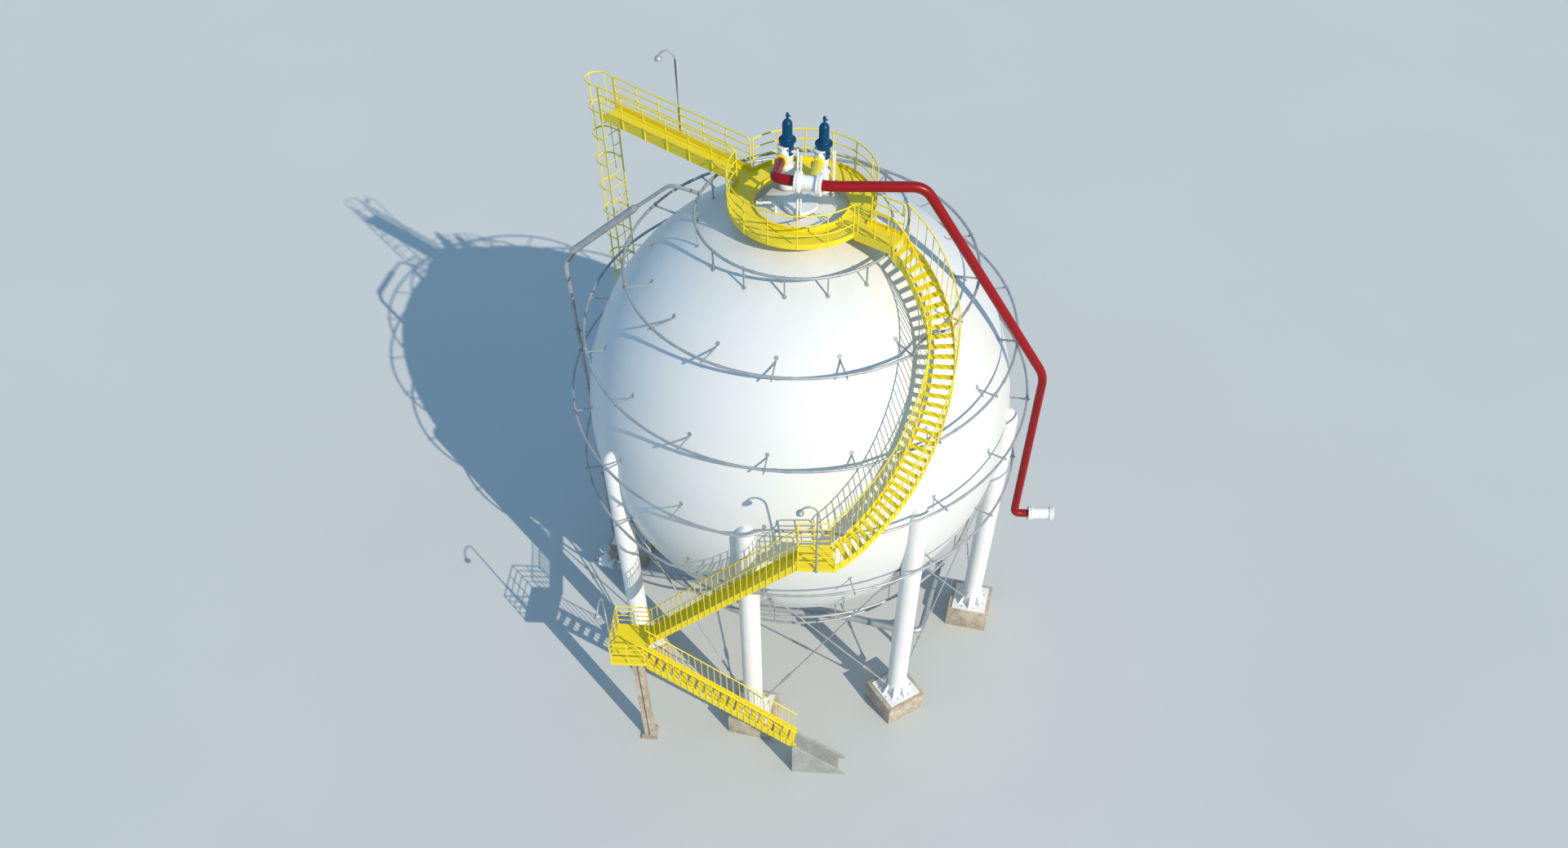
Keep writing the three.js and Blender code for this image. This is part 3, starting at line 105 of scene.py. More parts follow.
def rounded(points: Sequence[Vector], reach: float, cuts: int = 6) -> list[Vector]:
    """A route with its inner corners rounded.

    Args:
        points: the corners of the route.
        reach: how far from each corner the bend starts.
        cuts: how many steps each bend has.

    Returns:
        The points of the rounded route.
    """
    route = [points[0].copy()]
    for before, corner, after in zip(points, points[1:], points[2:]):
        back, on = before - corner, after - corner
        take = min(reach, back.length * 0.48, on.length * 0.48)
        start, end = corner + back.normalized() * take, corner + on.normalized() * take
        for i in range(cuts + 1):
            t = i / cuts
            route.append(start * (1 - t) ** 2 + corner * (2 * t * (1 - t)) + end * t ** 2)
    route.append(points[-1].copy())
    return route


def stations(points: Sequence[Vector], closed: bool = False, plumb: bool = False) -> list[Matrix]:
    """Section frames along a route.

    Args:
        points: the route.
        closed: whether the route returns to its start.
        plumb: whether the sections stay upright; otherwise they are carried along.

    Returns:
        A matrix for each point, X to the side, Y upward and Z along.
    """
    frames: list[Matrix] = []
    side: Vector | None = None
    last_along: Vector | None = None
    for i, point in enumerate(points):
        before = points[i - 1] if closed or i > 0 else point
        after = points[(i + 1) % len(points)] if closed or i < len(points) - 1 else point
        along = ((point - before).normalized() + (after - point).normalized()).normalized()
        if plumb or side is None:
            side = UP.cross(along)
            if side.length < 1e-3:
                side = Vector((0, 1, 0)).cross(along)
        else:
            side = last_along.rotation_difference(along) @ side
        side.normalize()
        last_along = along
        rise = UP if plumb else along.cross(side)
        frames.append(framed(point, side, rise, along))
    return frames


def add_object(name: str, data: bpy.types.ID) -> bpy.types.Object:
    """Puts a new object in the scene.

    Args:
        name: the object's name.
        data: its mesh, light or camera.

    Returns:
        The object.
    """
    made = bpy.data.objects.new(name, data)
    bpy.context.scene.collection.objects.link(made)
    return made


class Work:
    """A mesh in the making, with the tools that shape every piece of the tank."""

    def __init__(self) -> None:
        """Starts with an empty mesh."""
        self.mesh = bmesh.new()

    @contextmanager
    def part(self, place: Matrix | None = None) -> Iterator[bmesh.types.BMesh]:
        """Opens a closed part; on leaving it is mended, placed and added to the piece.

        Args:
            place: the frame that it is made in; the object's own when left out.

        Yields:
            The part's empty mesh, to be filled.
        """
        made = bmesh.new()
        yield made
        bmesh.ops.remove_doubles(made, verts=made.verts[:], dist=MERGE)
        bmesh.ops.recalc_face_normals(made, faces=made.faces[:])
        if place is not None:
            bmesh.ops.transform(made, matrix=place, verts=made.verts[:])
        holder = bpy.data.meshes.new("part")
        made.to_mesh(holder)
        made.free()
        self.mesh.from_mesh(holder)
        bpy.data.meshes.remove(holder)

    def block(
        self, low: Sequence[float], high: Sequence[float], place: Matrix | None = None,
        bevel: float = 0.0, segments: int = 2,
    ) -> None:
        """Adds a box.

        Args:
            low: one corner in the frame.
            high: the opposite corner.
            place: the frame; the object's own when left out.
            bevel: how wide its edges are broken.
            segments: in how many steps they are broken.
        """
        low, high = Vector(low), Vector(high)
        shape = Matrix.Translation((low + high) / 2) @ Matrix.Diagonal((*(high - low), 1.0))
        with self.part(place) as made:
            bmesh.ops.create_cube(made, size=1.0, matrix=shape)
            if bevel:
                bmesh.ops.bevel(
                    made, geom=made.edges[:], offset=bevel, offset_type="OFFSET", segments=segments,
                    profile=0.5, affect="EDGES", material=-1, clamp_overlap=True,
                )

    def bar(
        self, start: Vector, end: Vector, width: float, height: float | None = None,
        facing: Vector | None = None,
    ) -> None:
        """Adds a bar of rectangular section.

        Args:
            start: one end of its axis.
            end: the other end.
            width: its width to the side.
            height: its height; the width when left out.
            facing: for a plumb bar, the direction that its side is square to.
        """
        along = end - start
        length = along.length
        along.normalize()
        reference = (facing or Vector((1, 0, 0))) if abs(along.z) > UPRIGHT else UP
        side = reference.cross(along).normalized()
        place = framed((start + end) / 2, side, along.cross(side), along)
        size = Matrix.Diagonal((width, height or width, length, 1.0))
        bmesh.ops.create_cube(self.mesh, size=1.0, matrix=place @ size)

    def rod(
        self, start: Vector, end: Vector, radius: float, sides: int = 10, far: float | None = None
    ) -> None:
        """Adds a round bar, tapered when a far radius is given.

        Args:
            start: one end of its axis.
            end: the other end.
            radius: its radius at the start.
            sides: how many sides it has.
            far: its radius at the end; the same when left out.
        """
        along = end - start
        bmesh.ops.create_cone(
            self.mesh, cap_ends=True, cap_tris=False, segments=sides, radius1=radius,
            radius2=radius if far is None else far, depth=along.length,
            matrix=axis_frame((start + end) / 2, along),
        )

    def plate(self, centre: Vector, axis: Vector, radius: float, thick: float, sides: int = 32) -> None:
        """Adds a round plate with broken edges.

        Args:
            centre: its middle.
            axis: the direction that it is square to.
            radius: its radius.
            thick: its thickness.
            sides: how many sides its rim has.
        """
        edge = min(0.006, thick * 0.2)
        half = thick / 2
        profile = [(0, -half), (radius - edge, -half), (radius, edge - half), (radius, half - edge),
                   (radius - edge, half), (0, half)]
        self.turned(profile, axis_frame(centre, axis), sides)

    def turned(
        self, profile: Outline, place: Matrix | None = None, segments: int = 32, closed: bool = False
    ) -> None:
        """Adds a turned shape.

        Args:
            profile: radius and height of each point, axis to axis unless it is closed.
            place: the frame whose Z axis it is turned about.
            segments: how many steps the full turn has.
            closed: whether the profile closes on itself, as a ring's does.
        """
        with self.part(place) as made:
            points = [made.verts.new((radius, 0, z)) for radius, z in profile]
            edges = [made.edges.new(pair) for pair in zip(points, points[1:])]
            if closed:
                edges.append(made.edges.new((points[-1], points[0])))
            bmesh.ops.spin(
                made, geom=[*points, *edges], cent=(0, 0, 0), axis=UP, dvec=(0, 0, 0),
                angle=2 * pi, steps=segments, use_merge=True, use_duplicate=False,
            )

    def sweep(self, outline: Outline, frames: Sequence[Matrix], closed: bool = False) -> None:
        """Adds an outline carried along section frames.

        Args:
            outline: points of the section, X to the side and Y upward.
            frames: where the section stands, in order.
            closed: whether the last section joins the first.
        """
        with self.part() as made:
            corners = [made.verts.new(frames[0] @ Vector((x, y, 0))) for x, y in outline]
            first = face = made.faces.new(corners)
            route = [*frames, frames[0]] if closed else frames
            for old, new in zip(route, route[1:]):
                moved = bmesh.ops.extrude_face_region(made, geom=[face])["geom"]
                verts = [item for item in moved if isinstance(item, bmesh.types.BMVert)]
                bmesh.ops.transform(made, matrix=new @ old.inverted(), verts=verts)
                face = next(item for item in moved if isinstance(item, bmesh.types.BMFace))
            if closed:
                bmesh.ops.delete(made, geom=[first, face], context="FACES_ONLY")
                bmesh.ops.remove_doubles(made, verts=made.verts[:], dist=100 * MERGE)

    def pipe(self, points: Sequence[Vector], radius: float, sides: int = 16, closed: bool = False) -> None:
        """Adds a round pipe along a route.

        Args:
            points: the route of its axis.
            radius: its outer radius.
            sides: how many sides it has.
            closed: whether the route is a level ring that returns to its start.
        """
        turn = 2 * pi / sides
        circle = [(radius * cos(turn * i), radius * sin(turn * i)) for i in range(sides)]
        self.sweep(circle, stations(points, closed, plumb=closed), closed)

    @staticmethod
    def raised(made: bmesh.types.BMesh, corners: Iterable[Sequence[float]], way: Sequence[float]) -> None:
        """Makes a flat face and raises it into a solid.

        Args:
            made: the part's mesh.
            corners: the face's corners in order.
            way: how far each corner is raised, as a vector.
        """
        face = made.faces.new([made.verts.new(corner) for corner in corners])
        moved = bmesh.ops.extrude_face_region(made, geom=[face])["geom"]
        verts = [item for item in moved if isinstance(item, bmesh.types.BMVert)]
        bmesh.ops.translate(made, verts=verts, vec=way)

    def prism(self, outline: Outline, low: float, high: float) -> None:
        """Adds a flat outline raised from one height to another."""
        with self.part() as made:
            self.raised(made, ((x, y, low) for x, y in outline), (0, 0, high - low))

    def side_plate(self, outline: Outline, offset: float, thick: float, place: Matrix) -> None:
        """Adds an upright plate whose outline is drawn along a frame's X and Z axes."""
        with self.part(place) as made:
            self.raised(made, ((x, offset - thick / 2, z) for x, z in outline), (0, thick, 0))

    def bolts(
        self, centre: Vector, axis: Vector, circle: float, count: int, radius: float, depth: float
    ) -> None:
        """Adds a circle of hexagonal bolts.

        Args:
            centre: the middle of the circle and of the bolts' length.
            axis: the bolts' direction.
            circle: the circle's radius.
            count: how many bolts there are.
            radius: the radius of each.
            depth: the length of each.
        """
        place = axis_frame(centre, axis)
        for i in range(count):
            angle = 2 * pi * (i + 0.5) / count
            at = Vector((circle * cos(angle), circle * sin(angle), 0))
            low, high = at - UP * depth / 2, at + UP * depth / 2
            self.rod(place @ low, place @ high, radius, 6)

    def flange(self, centre: Vector, axis: Vector, radius: float, thick: float, count: int = 16) -> None:
        """Adds a bolted pair of flanges.

        Args:
            centre: the point between the two.
            axis: the direction of their pipe.
            radius: their radius.
            thick: the thickness of both together.
            count: how many bolts hold them.
        """
        axis = axis.normalized()
        half = thick / 2
        for side in (-1, 1):
            self.plate(centre + axis * side * half * 0.52, axis, radius, half * 0.94)
        self.bolts(centre, axis, radius * 0.84, count, radius * 0.06 + 0.004, thick + 0.05)

    def piece(self, name: str, finish: "Finish", nodes: Sequence[str]) -> None:
        """Closes the mesh as a named piece of the tank.

        Args:
            name: the piece's name.
            finish: what its surface looks like.
            nodes: the frame's nodes that it stands for.
        """
        data = bpy.data.meshes.new(name)
        self.mesh.to_mesh(data)
        self.mesh.free()
        data.shade_smooth()
        data.set_sharp_from_angle(angle=CREASE)
        data.materials.append(finish.material())
        made = add_object(name, data)
        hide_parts(*nodes)
        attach(made, "root")
        data.calc_loop_triangles()
        log.info("%s: %d triangles", name, len(data.loop_triangles))


class Tone:
    """A value that varies over a surface; sums and products of it become shader nodes."""

    def __init__(self, shader: "Shader", socket: bpy.types.NodeSocket) -> None:
        """Wraps an output socket of a shader's node."""
        self.shader = shader
        self.socket = socket

    def _with(self, operation: str, other: Any = 0.0, swapped: bool = False, clamp: bool = False) -> "Tone":
        """Joins this value to another by one Math node.

        Args:
            operation: the node's operation.
            other: a tone or a number.
            swapped: whether the other value comes first.
            clamp: whether the result is kept between nought and one.

        Returns:
            The node's result.
        """
        pair = (other, self) if swapped else (self, other)
        settings = {"operation": operation, "use_clamp": clamp}
        return self.shader.node("ShaderNodeMath", settings, {0: pair[0], 1: pair[1]})

    def __add__(self, other: Any) -> "Tone":
        """Adds."""
        return self._with("ADD", other)

    def __sub__(self, other: Any) -> "Tone":
        """Subtracts."""
        return self._with("SUBTRACT", other)

    def __rsub__(self, other: Any) -> "Tone":
        """Subtracts this from a number."""
        return self._with("SUBTRACT", other, swapped=True)

    def __mul__(self, other: Any) -> "Tone":
        """Multiplies."""
        return self._with("MULTIPLY", other)

    __radd__, __rmul__ = __add__, __mul__

    def clamped(self) -> "Tone":
        """This value kept between nought and one."""
        return self._with("ADD", 0.0, clamp=True)

    def ramp(self, low: float, high: float) -> "Tone":
        """A soft step from nought at low to one at high."""
        sockets = {"Value": self, "From Min": low, "From Max": high}
        return self.shader.node("ShaderNodeMapRange", {"interpolation_type": "SMOOTHSTEP"}, sockets)


class Shader:
    """A material's nodes, made by one method and joined by expressions."""

    def __init__(self, name: str) -> None:
        """Starts a material that holds one surface shader.

        Args:
            name: the material's name.
        """
        self.material = bpy.data.materials.new(name)
        self.material.use_nodes = True
        self.tree = self.material.node_tree
        self.surface = self.tree.nodes["Principled BSDF"]
        self.place = self.node("ShaderNodeTexCoord", output="Object")

    def node(
        self, kind: str, settings: dict[str, Any] | None = None, sockets: dict[Any, Any] | None = None,
        output: Any = 0,
    ) -> Tone:
        """Adds a node.

        Args:
            kind: the node's type.
            settings: its settings, set first.
            sockets: the values or links of its input sockets.
            output: the output to hand back.

        Returns:
            That output as a tone.
        """
        made = self.tree.nodes.new(kind)
        for key, value in (settings or {}).items():
            setattr(made, key, value)
        for key, value in (sockets or {}).items():
            self.feed(made.inputs[key], value)
        return Tone(self, made.outputs[output])

    def feed(self, socket: bpy.types.NodeSocket, value: Any) -> None:
        """Links a tone to a socket, or sets a plain value on it.

        Args:
            socket: the input socket.
            value: a tone, a number, or a colour without its alpha.
        """
        if isinstance(value, Tone):
            self.tree.links.new(value.socket, socket)
        elif isinstance(value, tuple) and socket.type == "RGBA":
            socket.default_value = (*value, 1.0)
        else:
            socket.default_value = value

    def noise(self, scale: float, detail: float = 4.0, rough: float = 0.55, at: Tone | None = None) -> Tone:
        """Cloudy noise of a scale per metre."""
        sockets = {"Vector": at or self.place, "Scale": scale, "Detail": detail, "Roughness": rough}
        return self.node("ShaderNodeTexNoise", {}, sockets)

    def cells(self, scale: float, output: str = "Distance") -> Tone:
        """Cells of a scale per metre."""
        return self.node("ShaderNodeTexVoronoi", {}, {"Vector": self.place, "Scale": scale}, output)

    def stretched(self, x: float, y: float, z: float) -> Tone:
        """The surface's coordinates, scaled apart on each axis."""
        return self.node("ShaderNodeVectorMath", {"operation": "MULTIPLY"}, {0: self.place, 1: (x, y, z)})

    def height(self) -> Tone:
        """The height of each point of the surface."""
        return self.node("ShaderNodeSeparateXYZ", {}, {0: self.place}, "Z")

    def mix(self, factor: Any, first: Any, second: Any) -> Tone:
        """A colour between two others."""
        sockets = {0: factor, 6: first, 7: second}
        return self.node("ShaderNodeMix", {"data_type": "RGBA"}, sockets, output=2)

    def bump(self, height: Tone, distance: float, strength: float = 1.0) -> None:
        """Roughens the surface by a height."""
        sockets = {"Height": height, "Distance": distance, "Strength": strength}
        self.feed(self.surface.inputs["Normal"], self.node("ShaderNodeBump", {}, sockets))

    def set(self, **values: Any) -> None:
        """Feeds the surface's sockets, named with underscores for spaces."""
        for key, value in values.items():
            self.feed(self.surface.inputs[key.replace("_", " ")], value)


@dataclass(frozen=True)
class Finish:
    """A finish and the record's material slot that it fills; each named one is made once."""

    name: str
    slot: str
    made: ClassVar[dict[str, bpy.types.Material]] = {}

    def paint(self, shader: Shader) -> None:
        """Fills in the shader."""
        raise NotImplementedError

    def material(self) -> bpy.types.Material:
        """Makes the finish's material at the first call, and finds it later.

        Returns:
            The material.
        """
        if self.name not in Finish.made:
            shader = Shader(self.name)
            self.paint(shader)
            Finish.made[self.name] = shader.material
        return Finish.made[self.name]


@dataclass(frozen=True)
class BallPaint(Finish):
    """Chalky white paint with soft clouds, and dust round the crown."""

    white: tuple = (0.72, 0.727, 0.72)
    cloud: tuple = (0.66, 0.69, 0.72)
    dust: tuple = (0.60, 0.60, 0.57)
    crown_height: float = 16.4

    def paint(self, shader: Shader) -> None:
        """Lays clouds at three sizes, runs down the sides and dust near the top.

        Args:
            shader: the material's nodes.
        """
        wide = shader.noise(0.22, 5.0, 0.6).ramp(0.42, 0.68)
        fine = shader.noise(1.3, 8.0, 0.7).ramp(0.45, 0.75)
        runs = shader.noise(1.0, 5.0, 0.6, shader.stretched(2.4, 2.4, 0.16)).ramp(0.52, 0.78)
        base = shader.mix((wide * 0.32 + fine * 0.22 + runs * 0.16).clamped(), self.white, self.cloud)
        crown = shader.height().ramp(self.crown_height, self.crown_height + 1.9)
        dusty = crown * shader.noise(0.9, 7.0, 0.65).ramp(0.36, 0.66) * 0.45
        specks = shader.noise(9.0, 3.0, 0.5).ramp(0.66, 0.74) * 0.10
        shader.set(Base_Color=shader.mix((dusty + specks).clamped(), base, self.dust))
        shader.set(Roughness=0.42 + wide * 0.14, Coat_Weight=0.12, Coat_Roughness=0.25)
        shader.bump(shader.noise(0.8, 3.0) * 0.7 + shader.noise(14.0, 3.0) * 0.06, 0.02, 0.35)


@dataclass(frozen=True)
class Paint(Finish):
    """Paint on steel, with soft clouds, fine dirt and a few worn specks."""

    colour: tuple
    worn: tuple
    gloss: float = 0.38
    clouds: float = 0.35
    specks: float = 0.25
    coat: float = 0.1
    grime_height: float = 0.0
    specular: float = 0.5

    def paint(self, shader: Shader) -> None:
        """Lays clouds, grime near the foot where there is some, and specks.

        Args:
            shader: the material's nodes.
        """
        cloud = shader.noise(1.1, 6.0, 0.65).ramp(0.40, 0.72)
        fine = shader.noise(7.0, 5.0, 0.6).ramp(0.48, 0.74)
        amount = cloud * self.clouds + fine * self.clouds * 0.5
        if self.grime_height:
            streaks = shader.noise(1.0, 5.0, 0.6, shader.stretched(6.0, 6.0, 0.5)).ramp(0.45, 0.75)
            foot = 1 - shader.height().ramp(1.0, 1.0 + self.grime_height)
            amount = amount + streaks * 0.22 + foot * fine * 0.45
        dull = tuple(0.72 * a + 0.28 * b for a, b in zip(self.colour, self.worn))
        base = shader.mix(amount.clamped(), self.colour, dull)
        chips = shader.noise(23.0, 4.0, 0.7).ramp(0.69, 0.76) * self.specks
        shader.set(Base_Color=shader.mix(chips, base, self.worn))
        shader.set(Roughness=self.gloss + fine * 0.12 + chips * 0.3, Specular_IOR_Level=self.specular)
        shader.set(Coat_Weight=self.coat, Coat_Roughness=0.2)
        shader.bump(shader.noise(30.0, 3.0), 0.004, 0.25)


@dataclass(frozen=True)
class Zinc(Finish):
    """Dull galvanised steel with its spangle."""

    light: tuple = (0.47, 0.49, 0.51)
    dark: tuple = (0.26, 0.28, 0.30)

    def paint(self, shader: Shader) -> None:
        """Lays spangle cells and soft clouds.

        Args:
            shader: the material's nodes.
        """
        grey = shader.node("ShaderNodeRGBToBW", {}, {0: shader.cells(26.0, "Color")})
        cloud = shader.noise(1.6, 6.0, 0.7).ramp(0.38, 0.70)
        amount = (grey * 0.35 + cloud * 0.55).clamped()
        shader.set(Base_Color=shader.mix(amount, self.light, self.dark), Metallic=0.45)
        shader.set(Roughness=0.38 + grey * 0.16 + cloud * 0.12)
        shader.bump(shader.noise(40.0, 3.0), 0.003, 0.3)


@dataclass(frozen=True)
class Concrete(Finish):
    """Weathered concrete: patches, grains, pits and stains."""

    light: tuple = (0.58, 0.52, 0.43)
    tan: tuple = (0.36, 0.29, 0.20)
    dark: tuple = (0.13, 0.10, 0.075)
    patch: float = 2.2
    stain: float = 0.6

    def paint(self, shader: Shader) -> None:
        """Lays patches of two tones, pits and stains, with a rough bump.

        Args:
            shader: the material's nodes.
        """
        patches = shader.noise(self.patch, 7.0, 0.7).ramp(0.38, 0.62)
        grain = shader.noise(17.0, 6.0, 0.75).ramp(0.40, 0.66)
        pits = 1 - shader.cells(21.0).ramp(0.05, 0.22)
        spots = shader.noise(5.0, 6.0, 0.7).ramp(0.56, 0.70)
        base = shader.mix((patches * 0.65 + grain * 0.45).clamped(), self.light, self.tan)
        soiled = (spots * self.stain + pits * grain * 0.5).clamped()
        shader.set(Base_Color=shader.mix(soiled, base, self.dark), Roughness=0.86 + grain * 0.1)
        shader.bump(grain * 0.6 + patches * 0.5 - pits * 0.8, 0.012, 0.8)


SHELL = BallPaint("shell_paint_white", "shell_paint")
COLUMN = Paint(
    "column_paint_white", "column_paint", (0.80, 0.81, 0.82), (0.42, 0.38, 0.33),
    gloss=0.40, clouds=0.30, specks=0.15, coat=0.15, grime_height=1.6,
)
YELLOW = Paint(
    "yellow_paint", "yellow_paint", (0.83, 0.66, 0.012), (0.40, 0.27, 0.03),
    gloss=0.36, clouds=0.20, specks=0.30, coat=0.12,
)
RED = Paint(
    "red_paint", "red_paint", (0.265, 0.003, 0.005), (0.10, 0.02, 0.015),
    gloss=0.34, clouds=0.30, specks=0.15, coat=0.03, specular=0.26,
)
NAVY = Paint(
    "navy_paint", "valve_paint", (0.002, 0.054, 0.145), (0.06, 0.10, 0.15),
    gloss=0.34, clouds=0.30, specks=0.12, coat=0.03, specular=0.18,
)
VALVE = Paint(
    "valve_paint_white", "valve_paint", (0.78, 0.80, 0.81), (0.35, 0.33, 0.30),
    gloss=0.36, clouds=0.35, specks=0.20, coat=0.15,
)
ZINC = Zinc("galvanised_steel", "galvanised")
FOOTING = Concrete("footing_concrete", "footing_concrete")
STEPS = Concrete(
    "step_concrete", "step_concrete", (0.42, 0.43, 0.42), (0.31, 0.32, 0.31), (0.17, 0.17, 0.17),
    patch=1.4, stain=0.35,
)


@dataclass(frozen=True)
class Ball:
    """The ball itself: a hollow shell in a belt and two caps."""

    radius: float = 7.85
    centre: float = 10.45
    wall: float = 0.04
    cap_latitude: float = 50.0
    slices: int = 144

    def level(self, radius: float, above: int = 1) -> float:
        """Height of the ball's surface at a radius, above or below its middle."""
        return self.centre + above * sqrt(self.radius ** 2 - radius ** 2)

    def profile(self, radius: float, start: float, end: float, steps: int) -> list[tuple[float, float]]:
        """Points of a meridian between two latitudes.

        Args:
            radius: the shell's outer or inner radius.
            start: the first latitude, in degrees.
            end: the last latitude, in degrees.
            steps: how many steps lie between them.

        Returns:
            Radius and height of each point.
        """
        points = []
        for i in range(steps + 1):
            latitude = radians(start + (end - start) * i / steps)
            level = radius * cos(latitude)
            points.append((level if level > MERGE else 0.0, self.centre + radius * sin(latitude)))
        return points

    def build(self) -> None:
        """Makes the belt and the two caps."""
        inner = self.radius - self.wall
        cap, slices = self.cap_latitude, self.slices
        belt = Work()
        belt.turned(
            self.profile(self.radius, -cap, cap, 50) + self.profile(inner, cap, -cap, 20),
            segments=slices, closed=True,
        )
        belt.piece("ball_belt", SHELL, ["shell_belt"])
        for name, above in (("top", 1), ("bottom", -1)):
            cover = Work()
            outside = self.profile(self.radius, 90 * above, cap * above, 22)
            inside = self.profile(inner, cap * above, 90 * above, 10)
            cover.turned(outside + inside, segments=slices)
            cover.piece(f"ball_{name}_cap", SHELL, [f"shell_{name}_cap"])


BALL = Ball()


@dataclass(frozen=True)
class Columns:
    """Eight tubular columns with base plates, gussets and anchor bolts, on footings.

    A bolt lists height, radius and sides of its washer, nut and shank.
    """

    count: int = 8
    first: float = -12.95
    circle: float = 7.8
    radius: float = 0.39
    shoulder: float = 11.1
    top: float = 11.58
    footing_top: float = 0.955
    footing_side: float = 1.752
    plate_side: float = 1.44
    plate_thick: float = 0.05
    gussets: int = 8
    gusset_reach: float = 0.64
    gusset_height: float = 0.45
    gusset_thick: float = 0.026
    bolts: int = 8
    bolt_margin: float = 0.11
    bolt: tuple = ((0.012, 0.055, 16), (0.05, 0.034, 6), (0.10, 0.018, 8))

    def azimuth(self, index: int) -> float:
        """Azimuth of a column."""
        return self.first + 360 / self.count * index

    def axis(self, index: int, z: float) -> Vector:
        """A point on a column's axis."""
        return polar(self.circle, self.azimuth(index), z)

    @property
    def plate_top(self) -> float:
        """Height of the base plates' top."""
        return self.footing_top + self.plate_thick

    def place(self, index: int, z: float = 0.0) -> Matrix:
        """A column's level frame, its X axis outward."""
        return level_frame(self.axis(index, z), polar(1, self.azimuth(index)))

    def shaft(self, index: int) -> None:
        """Makes one column with its base plate and gussets.

        Args:
            index: the column's number, from nought.
        """
        work = Work()
        place, foot = self.place(index), self.plate_top - SINK
        rise = self.top - self.shoulder
        turns = [radians(9 * i) for i in range(10)]
        dome = [(self.radius * cos(turn), self.shoulder + rise * sin(turn)) for turn in turns]
        work.turned([(0, foot), (self.radius, foot), *dome, (0, self.top)], place, 48)
        half = self.plate_side / 2
        work.block((-half, -half, self.footing_top), (half, half, self.plate_top), place, 0.006, 1)
        near, head = self.radius - 0.02, self.plate_top + self.gusset_height
        gusset = [(near, foot), (self.gusset_reach, foot), (self.gusset_reach, self.plate_top + 0.06),
                  (self.radius + 0.05, head), (near, head)]
        for i in range(self.gussets):
            spoke = place @ Matrix.Rotation(2 * pi * i / self.gussets, 4, "Z")
            work.side_plate(gusset, 0.0, self.gusset_thick, spoke)
        name = f"column_{index + 1}"
        work.piece(f"{name}_shaft", COLUMN, [name])

    def anchors(self) -> None:
        """Makes the anchor bolts of every base plate as one piece."""
        work = Work()
        reach = self.plate_side / 2 - self.bolt_margin
        for index in range(self.count):
            place = self.place(index, self.plate_top)
            for i in range(self.bolts):
                turn = 2 * pi * (i + 0.5) / self.bolts
                stretch = reach / max(abs(cos(turn)), abs(sin(turn)))
                foot = place @ Vector((stretch * cos(turn), stretch * sin(turn), -SINK))
                for height, radius, sides in self.bolt:
                    work.rod(foot, foot + UP * height, radius, sides)
        work.piece("anchor_bolts", COLUMN, [])

    def footing(self, index: int) -> None:
        """Makes one footing with its edges broken.

        Args:
            index: the number of its column, from nought.
        """
        work = Work()
        half = self.footing_side / 2
        work.block((-half, -half, 0), (half, half, self.footing_top), self.place(index), 0.018, 2)
        name = f"footing_{index + 1}"
        work.piece(f"{name}_block", FOOTING, [name])

    def build(self) -> None:
        """Makes the columns, anchors and footings."""
        for index in range(self.count):
            self.shaft(index)
            self.footing(index)
        self.anchors()


COLUMNS = Columns()


@dataclass(frozen=True)
class TieRods:
    """Two crossing tie rods in each bay, with turnbuckles and end plates."""

    top: float = 8.23
    foot: float = 1.56
    top_reach: float = 0.52
    foot_reach: float = 0.56
    radius: float = 0.03
    lug_thick: float = 0.028
    buckle_height: float = 2.65
    buckle_length: float = 0.4
    cheek: float = 0.021
    cheek_offset: float = 0.043
    nut: float = 0.058
    nut_half: float = 0.05
    fork: float = 0.055
    fork_end: float = 0.036
    fork_length: float = 0.24
    pin: float = 0.024
    pin_half: float = 0.06

    def rod(self, work: Work, top: Vector, foot: Vector) -> None:
        """Adds a rod, its turnbuckle near the foot and the forks at its ends.

        Args:
            work: the mesh that it joins.
            top: the rod's upper end.
            foot: the rod's lower end.
        """
        along = (foot - top).normalized()
        work.rod(top, foot, self.radius, 12)
        middle = top + along * ((top.z - self.buckle_height) / -along.z)
        half = self.buckle_length / 2
        aside = UP.cross(along).normalized().cross(along)
        for side in (-1, 1):
            cheek = middle + aside * side * self.cheek_offset
            work.rod(cheek - along * half, cheek + along * half, self.cheek, 10)
            end, reach = middle + along * side * half, along * side * self.nut_half
            work.rod(end - reach, end + reach, self.nut, 12)
        for end, inward in ((top, 1), (foot, -1)):
            start = end + along * inward * 0.02
            work.rod(start, start + along * inward * self.fork_length, self.fork, 12, self.fork_end)

    def bay(self, index: int) -> None:
        """Makes the rods between a column and the next.

        Args:
            index: the number of the first column, from nought.
        """
        near = COLUMNS.axis(index, 0)
        far = COLUMNS.axis((index + 1) % COLUMNS.count, 0)
        span = (far - near).length
        place = level_frame(near, far - near)
        work = Work()
        for flip in (False, True):
            def at(x: float, z: float) -> Vector:
                """A point of the bay, mirrored for the second rod."""
                return place @ Vector((span - x if flip else x, 0, z))
            top, foot = at(self.top_reach, self.top), at(span - self.foot_reach, self.foot)
            self.rod(work, top, foot)
            inner = COLUMNS.radius - 0.03
            for reach, level, base, sign in (
                (self.top_reach, self.top, 0, 1), (self.foot_reach, self.foot, span, -1),
            ):
                near, tip = reach + 0.02, reach + 0.08
                lug = [(inner, -0.15), (inner, 0.15), (near, 0.10), (tip, 0), (near, -0.10)]
                corners = [(base + sign * x, level + z) for x, z in lug]
                if flip:
                    corners = [(span - x, z) for x, z in corners]
                work.side_plate(corners, 0.0, self.lug_thick, place)
            across = place.col[1].to_3d() * self.pin_half
            for end in (top, foot):
                work.rod(end - across, end + across, self.pin, 10)
        name = f"brace_{index + 1}"
        work.piece(f"tie_rods_{index + 1}", ZINC, [name])

    def build(self) -> None:
        """Makes every bay."""
        for index in range(COLUMNS.count):
            self.bay(index)


class Hold(Enum):
    """How a spray ring stands off the ball."""

    PLUMB = "plumb"
    LEVEL = "level"


